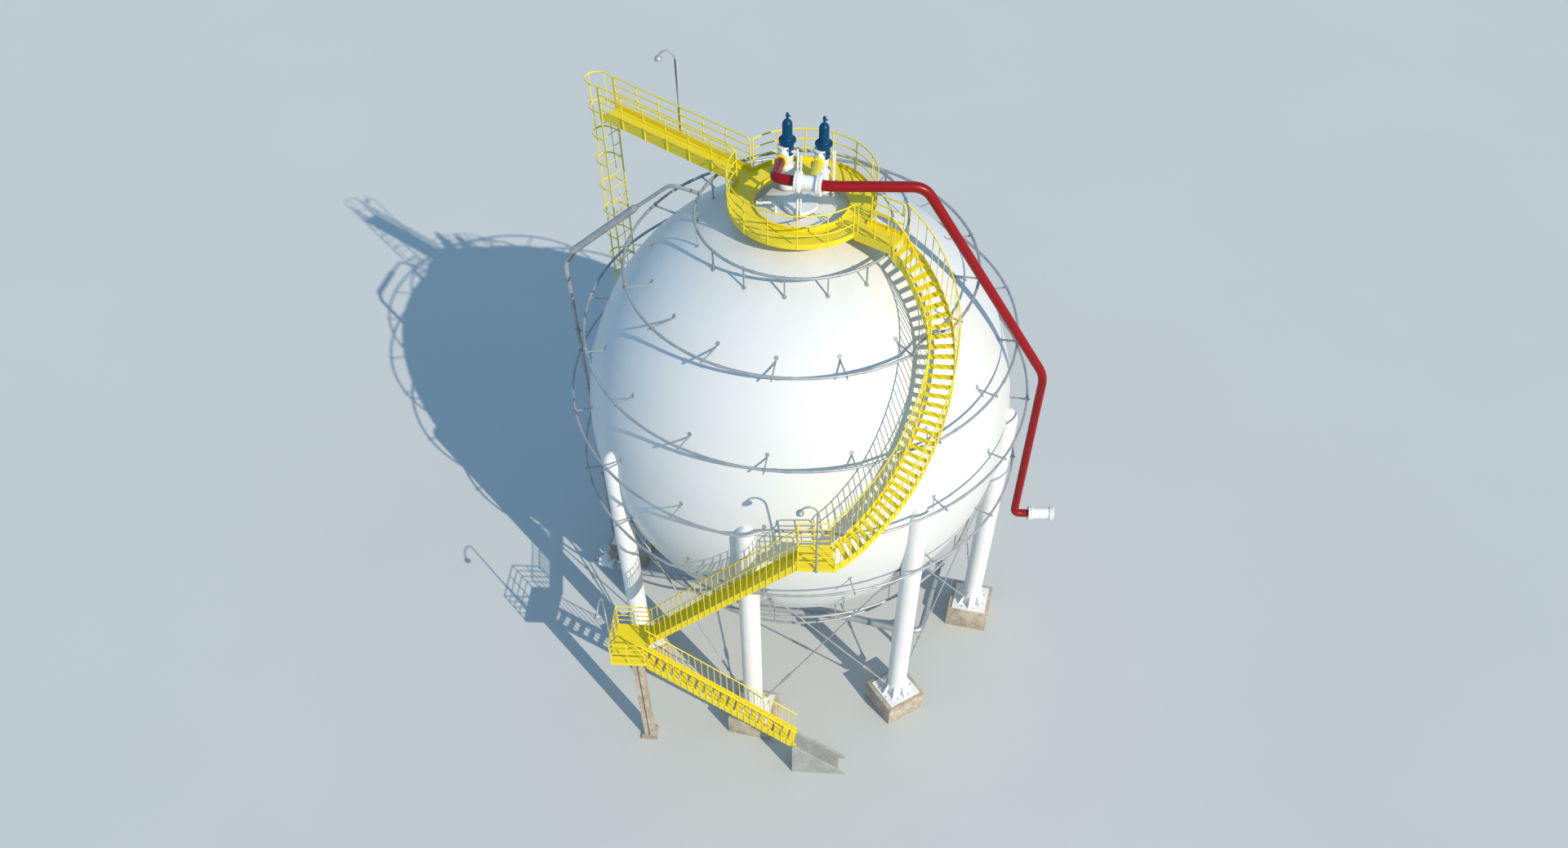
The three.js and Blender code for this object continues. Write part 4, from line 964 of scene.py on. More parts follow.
@dataclass(frozen=True)
class SprayRing:
    """A ring of pipe on brackets; its bends list azimuth and radius, and a drop where there is one."""

    letter: str
    radius: float
    z: float
    hold: Hold
    bends: tuple = ()
    pipe: float = 0.048
    brackets: int = 16
    first: float = -8.4
    bar: float = 0.044
    overhang: float = 0.11
    clamp: float = 0.009
    coupling: float = 0.6

    def route(self) -> list[Vector]:
        """Lays out the pipe.

        Returns:
            The points of its closed route.
        """
        if not self.bends:
            return arc(self.radius, 0, 360, self.z, 144)[:-1]
        bent = rounded([polar(r, az, self.z - sum(drop)) for az, r, *drop in self.bends], 0.35, 5)
        start, end = self.bends[-1][0], self.bends[0][0] + 360
        open_arc = arc(self.radius, start, end, self.z, round((end - start) / 2.5))
        return bent + open_arc[1:-1]

    def radius_at(self, azimuth: float) -> float:
        """Finds the ring's radius at a place, bends included.

        Args:
            azimuth: the place, in degrees.

        Returns:
            The radius there.
        """
        turn = (azimuth + 180) % 360 - 180
        for (a, ra, *_), (b, rb, *_) in zip(self.bends, self.bends[1:]):
            if a <= turn <= b:
                return ra + (rb - ra) * (turn - a) / (b - a)
        return self.radius

    def bracket(self, work: Work, azimuth: float) -> None:
        """Adds a bracket with its foot plate and clamp.

        Args:
            work: the mesh that it joins.
            azimuth: where it stands, in degrees.
        """
        radius = self.radius_at(azimuth)
        out = polar(1, azimuth)
        ring_point = polar(radius, azimuth, self.z)
        if self.hold is Hold.PLUMB:
            above = 1 if self.z > BALL.centre else -1
            shell = polar(radius, azimuth, BALL.level(radius, above))
            work.bar(shell, ring_point + UP * above * 0.07, self.bar, self.bar, out)
        else:
            level = sqrt(BALL.radius ** 2 - (self.z - BALL.centre) ** 2)
            shell = polar(level, azimuth, self.z)
            reach = self.overhang if radius == self.radius else 0.02
            low = UP * (self.pipe + self.bar / 2)
            work.bar(shell - low, ring_point + out * reach - low, self.bar)
            turns = [radians(-60 + 30 * i) for i in range(11)]
            loop = self.pipe + 0.012
            hook = [ring_point + (out * cos(turn) + UP * sin(turn)) * loop for turn in turns]
            work.pipe(hook, self.clamp, 6)
        normal = (shell - Vector((0, 0, BALL.centre))).normalized()
        work.plate(shell + normal * 0.004, normal, 0.075, 0.016, 16)

    def build(self) -> None:
        """Makes the ring with its brackets and couplings."""
        work = Work()
        work.pipe(self.route(), self.pipe, 14, closed=True)
        for i in range(self.brackets):
            azimuth = self.first + 360 / self.brackets * i
            self.bracket(work, azimuth)
            joint = azimuth + 90 / self.brackets
            if self.radius_at(joint) == self.radius:
                sleeve = arc(self.radius, joint - self.coupling, joint + self.coupling, self.z, 2)
                work.pipe(sleeve, self.pipe + self.clamp, 14)
        name = f"spray_ring_{self.letter}"
        work.piece(f"ring_pipe_{self.letter}", ZINC, [name])


RINGS = (
    SprayRing("a", 3.485, 18.164, Hold.PLUMB),
    SprayRing("b", 5.982, 16.439, Hold.LEVEL, (
        (36, 5.982), (39.5, 5.79), (42, 5.67), (47, 5.67), (50, 5.79), (53, 5.982))),
    SprayRing("c", 7.624, 14.127, Hold.LEVEL, (
        (18, 7.624), (22, 7.53), (26.6, 7.48), (30.5, 7.53), (34, 7.624))),
    SprayRing("d", 8.374, 11.683, Hold.LEVEL, (
        (-14, 8.374), (-11.2, 8.25), (-9.2, 8.03), (-6.6, 7.93),
        (6, 7.93), (9, 8.06), (11.5, 8.3), (14.1, 8.374))),
    SprayRing("e", 8.312, 8.85, Hold.LEVEL, (
        (-34, 8.312), (-29, 8.16), (-25, 8.08), (-18, 8.08, 0.06),
        (-15.6, 8.09, 0.13), (-14.4, 8.215, 0.13), (-12.9, 8.262, 0.13), (-8.4, 8.312))),
    SprayRing("f", 7.12, 6.2, Hold.PLUMB),
    SprayRing("g", 6.089, 4.571, Hold.PLUMB),
)


@dataclass(frozen=True)
class Riser:
    """The pipe that feeds the rings: thin at the top, thick over the shoulder, then down."""

    azimuth: float = -106.0
    thin: float = 0.06
    thick: float = 0.122
    lower: float = 0.086
    circle: float = 8.88
    bend: float = 0.26
    clamps: tuple = (11.683, 8.85, 4.2)

    def at(self, radius: float, z: float) -> Vector:
        """A point in the riser's plane."""
        return polar(radius, self.azimuth, z)

    def build(self) -> None:
        """Makes the riser with its reducers, clamps, ties and floor plate."""
        work = Work()
        circle = self.circle
        head = [self.at(RINGS[0].radius, RINGS[0].z), self.at(4.5, 18.3), self.at(6.0, 17.122)]
        top, bottom = self.at(5.9, 17.2), self.at(8.48, 15.1)
        foot = [self.at(8.3, 15.247), self.at(circle, 14.5), self.at(circle, 0.0)]
        along = (bottom - top).normalized()
        work.pipe(rounded(head, self.bend), self.thin)
        work.rod(top - along * 0.16, top, self.thin, 20, self.thick)
        work.rod(top, bottom, self.thick, 20)
        work.rod(bottom, bottom + along * 0.14, self.thick, 20, self.lower)
        work.pipe(rounded(foot, self.bend), self.lower)
        work.plate(self.at(circle, 0.02), UP, 0.19, 0.04)
        work.bolts(self.at(circle, 0.04), UP, 0.15, 6, 0.016, 0.05)
        for z in self.clamps:
            work.plate(self.at(circle, z), UP, self.lower + 0.03, 0.05, 20)
        for ring in RINGS[3:5]:
            work.bar(self.at(ring.radius, ring.z - 0.08), self.at(circle, ring.z - 0.08), 0.05)
        work.piece("riser_pipe", ZINC, ["spray_riser"])


@dataclass(frozen=True)
class GuardRail:
    """Round bars and posts of a guard rail."""

    levels: tuple = (1.046, 0.72, 0.39)
    foot: float = -0.03
    top: float = 0.024
    mid: float = 0.021
    post: float = 0.022
    bend: float = 0.14

    def run(self, work: Work, line: Sequence[Vector], deck: float, close_ends: tuple = (True, True)) -> None:
        """Adds the bars along a level line.

        Args:
            work: the mesh that they join.
            line: points of the line in plan.
            deck: the deck's height.
            close_ends: which ends turn down into a rounded end post.
        """
        high = [lifted(point, deck + self.levels[0]) for point in line]
        start = [lifted(line[0], deck + self.foot)] if close_ends[0] else []
        end = [lifted(line[-1], deck + self.foot)] if close_ends[1] else []
        head = rounded([*start, *high[:2]], self.bend)[:-1] if start else high[:1]
        tail = rounded([*high[-2:], *end], self.bend)[1:] if end else high[-1:]
        work.pipe([*head, *high[1:-1], *tail], self.top, 10)
        for level in self.levels[1:]:
            work.pipe([lifted(point, deck + level) for point in line], self.mid, 8)

    def posts(self, work: Work, feet: Sequence[Vector], deck: float) -> None:
        """Adds posts.

        Args:
            work: the mesh that they join.
            feet: their places in plan.
            deck: the deck's height.
        """
        for foot in feet:
            low = lifted(foot, deck + self.foot)
            work.rod(low, low + UP * (self.levels[0] - self.foot), self.post, 10)


@dataclass(frozen=True)
class Platform:
    """The round platform on the crown, with toe plates and guard rails."""

    radius: float = 2.4
    hole: float = 1.554
    deck_top: float = 18.5
    deck_under: float = 18.42
    plate: float = 0.012
    toe: float = 0.105
    toe_thick: float = 0.016
    door_half: float = 0.35
    beams: int = 16
    beam: float = 0.05
    rim_half: float = 0.014
    legs: int = 8
    leg: float = 0.09
    leg_circle: float = 1.8
    walkway_azimuth: float = -127.65
    walkway_gap: tuple = (-137.9, -117.4)
    bridge_azimuth: float = 52.0
    bridge_gap: tuple = (42.5, 66.0)
    rail_line: float = 2.398
    post_step: float = 22.5

    def edge(self, place: Matrix, y: float) -> float:
        """Finds the round edge of the deck along a level frame.

        Args:
            place: the frame.
            y: an offset to the frame's left.

        Returns:
            How far along the frame the edge is at that offset.
        """
        point = place @ Vector((0, y, 0))
        point.z = 0
        ahead = point.dot(place.col[0].to_3d())
        return sqrt(ahead ** 2 - point.length_squared + (self.radius + 0.003) ** 2) - ahead

    def branch(self, work: Work, place: Matrix, half: float, end: float, depth: float, toe: float) -> None:
        """Adds a deck that reaches out from the round edge: its plate and both side plates.

        Args:
            work: the mesh that it joins.
            place: the deck's level frame, its X axis away from the platform.
            half: half of the deck's width.
            end: how far along the frame it reaches.
            depth: how far its side plates reach down from its top.
            toe: how far they rise above it.
        """
        top, reach = self.deck_top, half - SIDE_PLATE / 2
        across = [reach - reach * i / 4 for i in range(9)]
        corners = [(end, -reach), (end, reach), *((self.edge(place, y), y) for y in across)]
        work.prism(plan(place, corners), top - DECK_PLATE, top)
        for side in (-1, 1):
            outer, inner = side * half, side * (half - SIDE_PLATE)
            work.block((self.edge(place, outer), outer, top - depth), (end, inner, top + toe), place)

    @staticmethod
    def ring(work: Work, inner: float, outer: float, low: float, high: float) -> None:
        """Adds a ring of rectangular section."""
        work.turned([(inner, low), (outer, low), (outer, high), (inner, high)], segments=96, closed=True)

    def deck(self) -> None:
        """Makes the deck ring, its edge beams, toe plates, cross beams and legs."""
        work = Work()
        top, under, rim = self.deck_top, self.deck_under, self.rim_half
        self.ring(work, self.hole, self.radius, top - self.plate, top)
        for radius in (self.radius - rim, self.hole + rim):
            self.ring(work, radius - rim, radius + rim, under, top - self.plate)
        self.ring(work, self.hole, self.hole + self.toe_thick, top, top + self.toe)
        door = degrees(asin(self.door_half / self.radius))
        walkway, bridge = self.walkway_azimuth, self.bridge_azimuth
        half = self.toe_thick / 2
        outline = [(-half, 0.0), (half, 0.0), (half, self.toe), (-half, self.toe)]
        for start, end in ((walkway + door, bridge - door), (bridge + door, walkway - door + 360)):
            line = arc(self.radius - half, start, end, top, round((end - start) / 4))
            work.sweep(outline, stations(line, plumb=True))
        low = under + 0.03
        for i in range(self.beams):
            azimuth = 360 / self.beams * (i + 0.5)
            inner, outer = (polar(radius, azimuth, low) for radius in (self.hole + 0.03, self.radius - 0.03))
            work.bar(inner, outer, self.beam)
        for i in range(self.legs):
            azimuth = 360 / self.legs * (i + 0.5)
            foot = polar(self.leg_circle, azimuth, BALL.level(self.leg_circle) - 0.02)
            work.bar(foot, lifted(foot, low), self.leg, self.leg, polar(1, azimuth))
        work.piece("platform_deck", YELLOW, ["top_platform"])

    def rails(self) -> None:
        """Makes the two stretches of guard rail."""
        work = Work()
        rail = GuardRail(foot=self.deck_under - self.deck_top)
        walkway, bridge = self.walkway_gap, self.bridge_gap
        for start, end in ((walkway[1], bridge[0]), (bridge[1], walkway[0] + 360)):
            steps = round((end - start) / 3)
            rail.run(work, arc(self.rail_line, start, end, 0, steps), self.deck_top)
            bays = round((end - start) / self.post_step)
            rail.posts(work, arc(self.rail_line, start, end, 0, bays)[1:-1], self.deck_top)
        work.piece("platform_rails", YELLOW, ["top_platform"])

    def build(self) -> None:
        """Makes the deck and the rails."""
        self.deck()
        self.rails()


PLATFORM = Platform()


@dataclass(frozen=True)
class Walkway:
    """The walkway from the platform to the caged ladder, with the ladder and its cage."""

    half: float = 0.372
    start: float = 2.45
    end: float = 8.4497
    line: float = 0.386
    depth: float = 0.11
    toe: float = 0.16
    flange: float = 0.06
    flange_thick: float = 0.012
    beams: int = 9
    beam_half: float = 0.025
    levels: tuple = (1.046, 0.79, 0.53, 0.28)
    bays: int = 6
    ladder_half: float = 0.376
    stile_depth: float = 0.065
    stile_half: float = 0.012
    head: float = 19.546
    rung: float = 0.013
    rung_step: float = 0.48
    cage_centre: float = 8.875
    cage_half: float = 0.394
    bow_half: float = 0.3993
    cage_first: float = 2.38
    cage_step: float = 0.955
    cage_last: float = 18.615
    upright: float = 0.015

    @property
    def place(self) -> Matrix:
        """The walkway's frame: X outward along it."""
        return level_frame((0, 0, 0), polar(1, PLATFORM.walkway_azimuth))

    def at(self, x: float, y: float, z: float) -> Vector:
        """A point of the walkway's frame."""
        return self.place @ Vector((x, y, z))

    def deck(self) -> None:
        """Makes the deck, its flanged side plates and its cross bars."""
        work = Work()
        top, inner = PLATFORM.deck_top, self.half - SIDE_PLATE
        under = top - self.depth
        PLATFORM.branch(work, self.place, self.half, self.end, self.depth, self.toe)
        for side in (-1, 1):
            start = (PLATFORM.edge(self.place, side * self.half), side * inner, under)
            end = (self.end, side * (self.half - self.flange), under + self.flange_thick)
            work.block(start, end, self.place)
        first = PLATFORM.edge(self.place, 0) + 0.1
        for i in range(self.beams):
            x = first + (self.end - first - 0.1) * i / (self.beams - 1)
            start = (x - self.beam_half, -inner, under + 0.02)
            work.block(start, (x + self.beam_half, inner, top - DECK_PLATE), self.place)
        work.piece("walkway_deck", YELLOW, ["walkway"])

    def rails(self) -> None:
        """Makes the side rails from the platform to the ladder's stiles."""
        work = Work()
        top = PLATFORM.deck_top
        rail = GuardRail(self.levels, -self.depth)
        for side in (-1, 1):
            start, end = (self.at(x, side * self.line, 0) for x in (self.start, self.end - 0.024))
            rail.run(work, [start, end], top, (True, False))
            rail.posts(work, [start.lerp(end, i / self.bays) for i in range(1, self.bays + 1)], top)
        work.piece("walkway_rails", YELLOW, ["walkway"])

    def ladder(self) -> None:
        """Makes the ladder from the ground to the walkway."""
        work = Work()
        near, thick = self.end + TOUCH, self.stile_half
        for side in (-1, 1):
            y = side * self.ladder_half
            work.block((near, y - thick, 0), (near + self.stile_depth, y + thick, self.head), self.place)
        x = near + self.stile_depth / 2
        for i in range(1, int((PLATFORM.deck_top - 0.1) / self.rung_step) + 1):
            z = self.rung_step * i
            work.rod(self.at(x, -self.ladder_half, z), self.at(x, self.ladder_half, z), self.rung, 8)
        work.piece("ladder_rungs", YELLOW, ["ladder"])

    def hoop(self, half: float, z: float) -> list[Vector]:
        """Lays out a hoop from one stile round to the other.

        Args:
            half: half of its width.
            z: its height.

        Returns:
            The points of its route.
        """
        bow = [self.at(self.cage_centre + half * cos(turn), half * sin(turn), z)
               for turn in (radians(-90 + 15 * i) for i in range(13))]
        return [self.at(self.end + 0.006, -half, z), *bow, self.at(self.end + 0.006, half, z)]

    def cage(self) -> None:
        """Makes the hoops and uprights of the cage, and the round bar on top."""
        work = Work()
        flat = [(-0.005, -0.025), (0.005, -0.025), (0.005, 0.025), (-0.005, 0.025)]
        for i in range(round((self.cage_last - self.cage_first) / self.cage_step) + 1):
            z = self.cage_first + self.cage_step * i
            work.sweep(flat, stations(self.hoop(self.cage_half, z), plumb=True))
        work.pipe(self.hoop(self.bow_half, self.head), 0.022, 10)
        reach = self.cage_half - 0.018
        for x, y in ((0, -reach), (reach, 0), (0, reach)):
            foot = self.at(self.cage_centre + x, y, self.cage_first - 0.02)
            work.rod(foot, lifted(foot, self.head), self.upright, 8)
        work.piece("cage_hoops", YELLOW, ["ladder_cage"])

    def build(self) -> None:
        """Makes the walkway, ladder and cage."""
        self.deck()
        self.rails()
        self.ladder()
        self.cage()


def add_tread(
    work: Work, place: Matrix, backs: Sequence[float], fronts: Sequence[float], reach: float
) -> None:
    """Adds a tread of folded plate.

    Args:
        work: the mesh that it joins.
        place: the tread's frame, X down the stair and its top at zero.
        backs: how far back it starts, at its right and left ends.
        fronts: how far forward it ends, at its right and left ends.
        reach: half of its width.
    """
    corners = [(backs[0], -reach), (fronts[0], -reach), (fronts[1], reach), (backs[1], reach)]
    top = place.translation.z
    work.prism(plan(place, corners), top - TREAD_PLATE, top)
    drop = -(TREAD_PLATE + TREAD_FOLD) / 2
    for ends, shift in ((backs, TREAD_PLATE / 2), (fronts, -TREAD_PLATE / 2)):
        right, left = (place @ Vector((x + shift, y, drop)) for x, y in zip(ends, (-reach, reach)))
        work.bar(right, left, TREAD_PLATE, TREAD_FOLD - TREAD_PLATE)


@dataclass(frozen=True)
class StairLine:
    """The plan line of the curved stair as a smooth curve through set places."""

    plan: tuple = (
        (3.668, 54.6, 18.5), (4.47, 54.2, 17.97), (5.93, 47.6, 16.91), (7.11, 37.9, 15.74),
        (7.935, 29.0, 14.55), (8.44, 21.8, 13.5), (8.85, 12.9, 12.25), (9.0365, 7.47, 11.6),
    )
    bridge_end: tuple = (2.99, -2.125, 18.5)

    def knots(self) -> list[Vector]:
        """Lists the set places, with one more beyond each end.

        Returns:
            The places as points.
        """
        points = [polar(*place) for place in self.plan]
        points[0] = Vector(self.bridge_end)
        return [2 * points[0] - points[1], *points, 2 * points[-1] - points[-2]]

    @staticmethod
    def blend(knots: Sequence[Vector], t: float) -> Vector:
        """Finds a point of the centripetal curve through the knots.

        Args:
            knots: the knots in order.
            t: where the point is, counted in knots from the second one.

        Returns:
            The point.
        """
        first = min(int(t), len(knots) - 4)
        t -= first
        a, b, c, d = near = knots[first:first + 4]
        gaps = [max((q - p).length ** 0.5, 1e-4) for p, q in zip(near, near[1:])]
        leave = ((b - a) / gaps[0] - (c - a) / (gaps[0] + gaps[1]) + (c - b) / gaps[1]) * gaps[1]
        arrive = ((c - b) / gaps[1] - (d - b) / (gaps[1] + gaps[2]) + (d - c) / gaps[2]) * gaps[1]
        square, cube = 3 * (c - b) - 2 * leave - arrive, 2 * (b - c) + leave + arrive
        return b + leave * t + square * t ** 2 + cube * t ** 3

    def at_height(self, z: float) -> Vector:
        """Finds the place on the line at a height by halving, as the line only falls.

        Args:
            z: the height.

        Returns:
            The point there.
        """
        knots = self.knots()
        low, high = 0.0, len(knots) - 3.0
        for _ in range(40):
            middle = (low + high) / 2
            if self.blend(knots, middle).z > z:
                low = middle
            else:
                high = middle
        return self.blend(knots, low)


@dataclass(frozen=True)
class CurvedStair:
    """The curved stair down the ball, with the bridge at its head."""

    line: StairLine = StairLine()
    risers: int = 38
    head: float = 18.5
    foot: float = 11.6
    half: float = 0.41
    stringer: float = 0.03
    stringer_drop: float = 0.26
    stringer_rise: float = 0.06
    tread_share: float = 0.72
    rail_rise: float = 1.1
    baluster: float = 0.015
    bridge_heading: tuple = (0.834, -0.552, 0)
    bridge_rails: tuple = (-1.22, -0.6, -0.03)
    bridge_depth: float = 0.16
    landing_edge: tuple = ((1.24, -9.47), (1.11, -8.45))

    def points(self) -> list[Vector]:
        """Finds the edge of every tread on the stair's line.

        Returns:
            The points from the head to the foot.
        """
        rise = (self.head - self.foot) / self.risers
        made = [self.line.at_height(self.head - rise * i) for i in range(self.risers + 1)]
        for i, point in enumerate(made):
            point.z = self.head - rise * i
        return made

    def headings(self, points: Sequence[Vector]) -> list[Vector]:
        """Finds the stair's level heading at each tread's edge.

        Args:
            points: the treads' edges.

        Returns:
            A heading for each.
        """
        made = [Vector(self.bridge_heading).normalized()]
        for before, after in zip(points, points[2:]):
            made.append(lifted(after - before, 0).normalized())
        (ax, ay), (bx, by) = self.landing_edge
        made.append(Vector((ay - by, bx - ax, 0)).normalized())
        return made

    def side(self, offset: float, lift: float) -> list[Vector]:
        """Finds the points beside the stair's line.

        Args:
            offset: how far to its left.
            lift: how far above it.

        Returns:
            A point for each tread's edge.
        """
        points = self.points()
        return [
            Vector((p.x - h.y * offset, p.y + h.x * offset, p.z + lift))
            for p, h in zip(points, self.headings(points))
        ]

    def steps(self) -> None:
        """Makes the stringers and the folded treads."""
        work = Work()
        web = self.stringer / 2
        outline = [(-web, -self.stringer_drop), (web, -self.stringer_drop),
                   (web, self.stringer_rise), (-web, self.stringer_rise)]
        for side in (-1, 1):
            work.sweep(outline, stations(self.side(side * self.half, 0), plumb=True))
        points = self.points()
        reach = self.half - web + 0.004
        for before, after in zip(points, points[1:-1]):
            heading = lifted(after - before, 0)
            depth = heading.length * self.tread_share
            add_tread(work, level_frame(after, heading), (-depth, -depth), (0.0, 0.0), reach)
        work.piece("curved_stair_steps", YELLOW, ["upper_stair"])

    def rail(self, name: str, side: int) -> None:
        """Makes the handrail and balusters of one side.

        Args:
            name: the side's name.
            side: -1 for the right side going down, 1 for the left.
        """
        work = Work()
        offset = side * (self.half + self.stringer / 2 + self.baluster + 0.002)
        top = self.side(offset, self.rail_rise)
        foot = self.side(offset, -self.stringer_drop / 2)
        work.pipe(top, HANDRAIL, 10)
        for i in range(len(top) - 1):
            work.rod((foot[i] + foot[i + 1]) / 2, (top[i] + top[i + 1]) / 2, self.baluster, 8)
        work.piece(f"curved_rail_{name}", YELLOW, [f"upper_rail_{name}"])

    def bridge(self) -> None:
        """Makes the bridge from the platform to the stair's head."""
        work = Work()
        place = level_frame((*self.line.bridge_end[:2], 0), self.bridge_heading)
        half, top = self.half + self.stringer / 2, self.head
        inner, rail = half - SIDE_PLATE, GuardRail()
        PLATFORM.branch(work, place, half, -0.001, self.bridge_depth, PLATFORM.toe)
        for side in (-1, 1):
            line = [place @ Vector((x, side * (half - 0.024), 0)) for x in self.bridge_rails]
            rail.run(work, line, top)
            rail.posts(work, [line[1]], top)
        work.block((-0.03, -inner, top - self.bridge_depth), (-0.006, inner, top - DECK_PLATE), place)
        work.piece("bridge_deck", YELLOW, ["stair_bridge"])

    def build(self) -> None:
        """Makes the bridge, the steps and both rails."""
        self.bridge()
        self.steps()
        self.rail("inner", -1)
        self.rail("outer", 1)


def inset_outline(outline: Outline, margin: float) -> list[Vector]:
    """Moves a convex outline inward.

    Args:
        outline: its corners, counter-clockwise.
        margin: how far each edge moves.

    Returns:
        The moved corners.
    """
    points = [Vector(point) for point in outline]
    edges = [(b - a).normalized() for a, b in zip(points, points[1:] + points[:1])]
    corners = []
    for point, before, after in zip(points, edges[-1:] + edges, edges):
        turn = before + after
        corners.append(point + Vector((-turn.y, turn.x)) * margin / (1 + before.dot(after)))
    return corners


@dataclass(frozen=True)
class Landing:
    """A landing of the stairs: deck plate, edge channels and barred rails.

    Its railed field lists the chains of corners that the rails follow.
    """

    name: str
    outline: tuple
    deck: float
    depth: float
    railed: tuple
    levels: tuple = (1.09, 0.82, 0.55, 0.28)
    inset: float = 0.028
    post_step: float = 0.65
    plate: float = 0.012
    channel: float = 0.018
    rim_inset: float = 0.010
    beam: float = 0.05

    def build(self) -> None:
        """Makes the deck, its channels and cross beams, and the rails."""
        work = Work()
        under, plate_under = self.deck - self.depth, self.deck - self.plate
        work.prism(self.outline, plate_under, self.deck)
        rim = inset_outline(self.outline, self.rim_inset)
        edges = list(zip(rim, rim[1:] + rim[:1]))
        level = (under + plate_under) / 2
        for a, b in edges:
            step = (b - a).normalized() * self.channel / 2
            work.bar(lifted(a + step, level), lifted(b + step, level), self.channel, self.depth - self.plate)
        low = under + 0.02
        centre = sum(rim, Vector((0, 0))) / len(rim)
        for a, b in edges[::2]:
            middle, level = (a + b) / 2, (low + plate_under) / 2
            work.bar(lifted(middle, level), lifted(centre * 2 - middle, level), self.beam, plate_under - low)
        corners = inset_outline(self.outline, self.inset)
        rail = GuardRail(levels=self.levels)
        for chain in self.railed:
            line = [corners[i].to_3d() for i in chain]
            rail.run(work, line, self.deck)
            feet = []
            for a, b in zip(line, line[1:]):
                bays = max(1, round((b - a).length / self.post_step))
                feet += [a.lerp(b, j / bays) for j in range(1, bays + (b != line[-1]))]
            rail.posts(work, feet, self.deck)
        work.piece(f"{self.name}_deck", YELLOW, [self.name])


@dataclass(frozen=True)
class Flight:
    """A straight flight between two slanting edges, with a handrail each side."""

    name: str
    start: tuple
    heading: tuple
    top: float
    foot: float
    run: float
    treads: int
    half: float
    balusters: int
    head_edge: tuple
    foot_edge: tuple
    links: tuple
    foot_plate: bool = False
    stringer: float = 0.03
    drop: float = 0.28
    lift: float = 0.07
    tread_share: float = 0.8
    rail_rise: float = 1.0
    baluster: float = 0.015
    gap: float = 0.002

    @property
    def place(self) -> Matrix:
        """The flight's frame: X down the flight, from under its top edge."""
        return level_frame((*self.start, 0), self.heading)

    @property
    def rise(self) -> float:
        """Height of a riser."""
        return (self.top - self.foot) / (self.treads + 1)

    def at(self, x: float, y: float, lift: float) -> Vector:
        """A point over the nosing line."""
        slope = self.rise * self.treads / self.run
        return self.place @ Vector((x, y, self.top - x * slope + lift))

    def meet(self, y: float, edge: Sequence[Sequence[float]]) -> float:
        """Finds a plan edge along the flight.

        Args:
            y: an offset to the flight's left.
            edge: two points of the edge.

        Returns:
            How far along the flight the edge is at that offset.
        """
        here = (self.place @ Vector((0, y, 0))).to_2d()
        a, b = Vector(edge[0]), Vector(edge[1])
        normal = Vector((b.y - a.y, a.x - b.x))
        return (a - here).dot(normal) / self.place.col[0].to_2d().dot(normal)

    def ends(self, y: float) -> tuple[float, float]:
        """Where the flight starts and ends, at an offset to the left."""
        return self.meet(y, self.head_edge) + self.gap, self.meet(y, self.foot_edge) - self.gap

    def wedge(self, work: Work, x: float, way: int, level: float) -> None:
        """Fills the space between a line across the flight and a slanting edge.

        Args:
            work: the mesh that it joins.
            x: where the line is.
            way: -1 for the edge at the head, 1 for the edge at the foot.
            level: height of its top.
        """
        reach = self.half - self.stringer / 2
        gaps = {y: way * (self.ends(y)[way > 0] - x) for y in (-reach, reach)}
        wide = max(gaps, key=gaps.get)
        narrow = wide - 2 * wide * gaps[wide] / (gaps[wide] - gaps[-wide])
        corners = [(x, wide), (x + way * gaps[wide], wide), (x, narrow)]
        work.prism(plan(self.place, corners), level - TREAD_FOLD, level)

    def side(self, work: Work, way: int) -> None:
        """Adds the stringer, handrail and balusters of one side.

        Args:
            work: the mesh that they join.
            way: -1 for the right side going down, 1 for the left.
        """
        y = way * self.half
        start, end = self.ends(y)
        corners = ((start, -self.drop), (end, -self.drop), (end, self.lift), (start, self.lift))
        outline = [(x, self.at(x, y, lift).z) for x, lift in corners]
        work.side_plate(outline, y, self.stringer, self.place)
        line = way * (self.half + self.stringer / 2 + self.baluster + 0.001)
        start, end = self.ends(line)
        route = [self.at(start, line, self.rail_rise), self.at(end, line, self.rail_rise)]
        for linked, at_foot, point in self.links:
            if linked == way:
                route.insert(len(route) if at_foot else 0, Vector(point))
        work.pipe(route, HANDRAIL, 10)
        for i in range(self.balusters):
            x = start + (end - start) * (i + 0.5) / self.balusters
            work.rod(self.at(x, line, 0.006 - self.drop), self.at(x, line, self.rail_rise), self.baluster, 8)

    def build(self) -> None:
        """Makes both sides, the treads and the plates at the slanting edges."""
        work = Work()
        for way in (-1, 1):
            self.side(work, way)
        going = self.run / self.treads
        reach = self.half - self.stringer / 2 + 0.004
        for i in range(1, self.treads + 1):
            place = self.place @ Matrix.Translation((0, 0, self.top - self.rise * i))
            back = going * (i - self.tread_share)
            fronts = [min(going * i, self.ends(y)[1]) for y in (-reach, reach)]
            add_tread(work, place, (back, back), fronts, reach)
        self.wedge(work, 0.006, -1, self.top)
        if self.foot_plate:
            self.wedge(work, self.run - 0.006, 1, self.foot + TREAD_FOLD)
        work.piece(f"{self.name}_flight", YELLOW, [self.name])


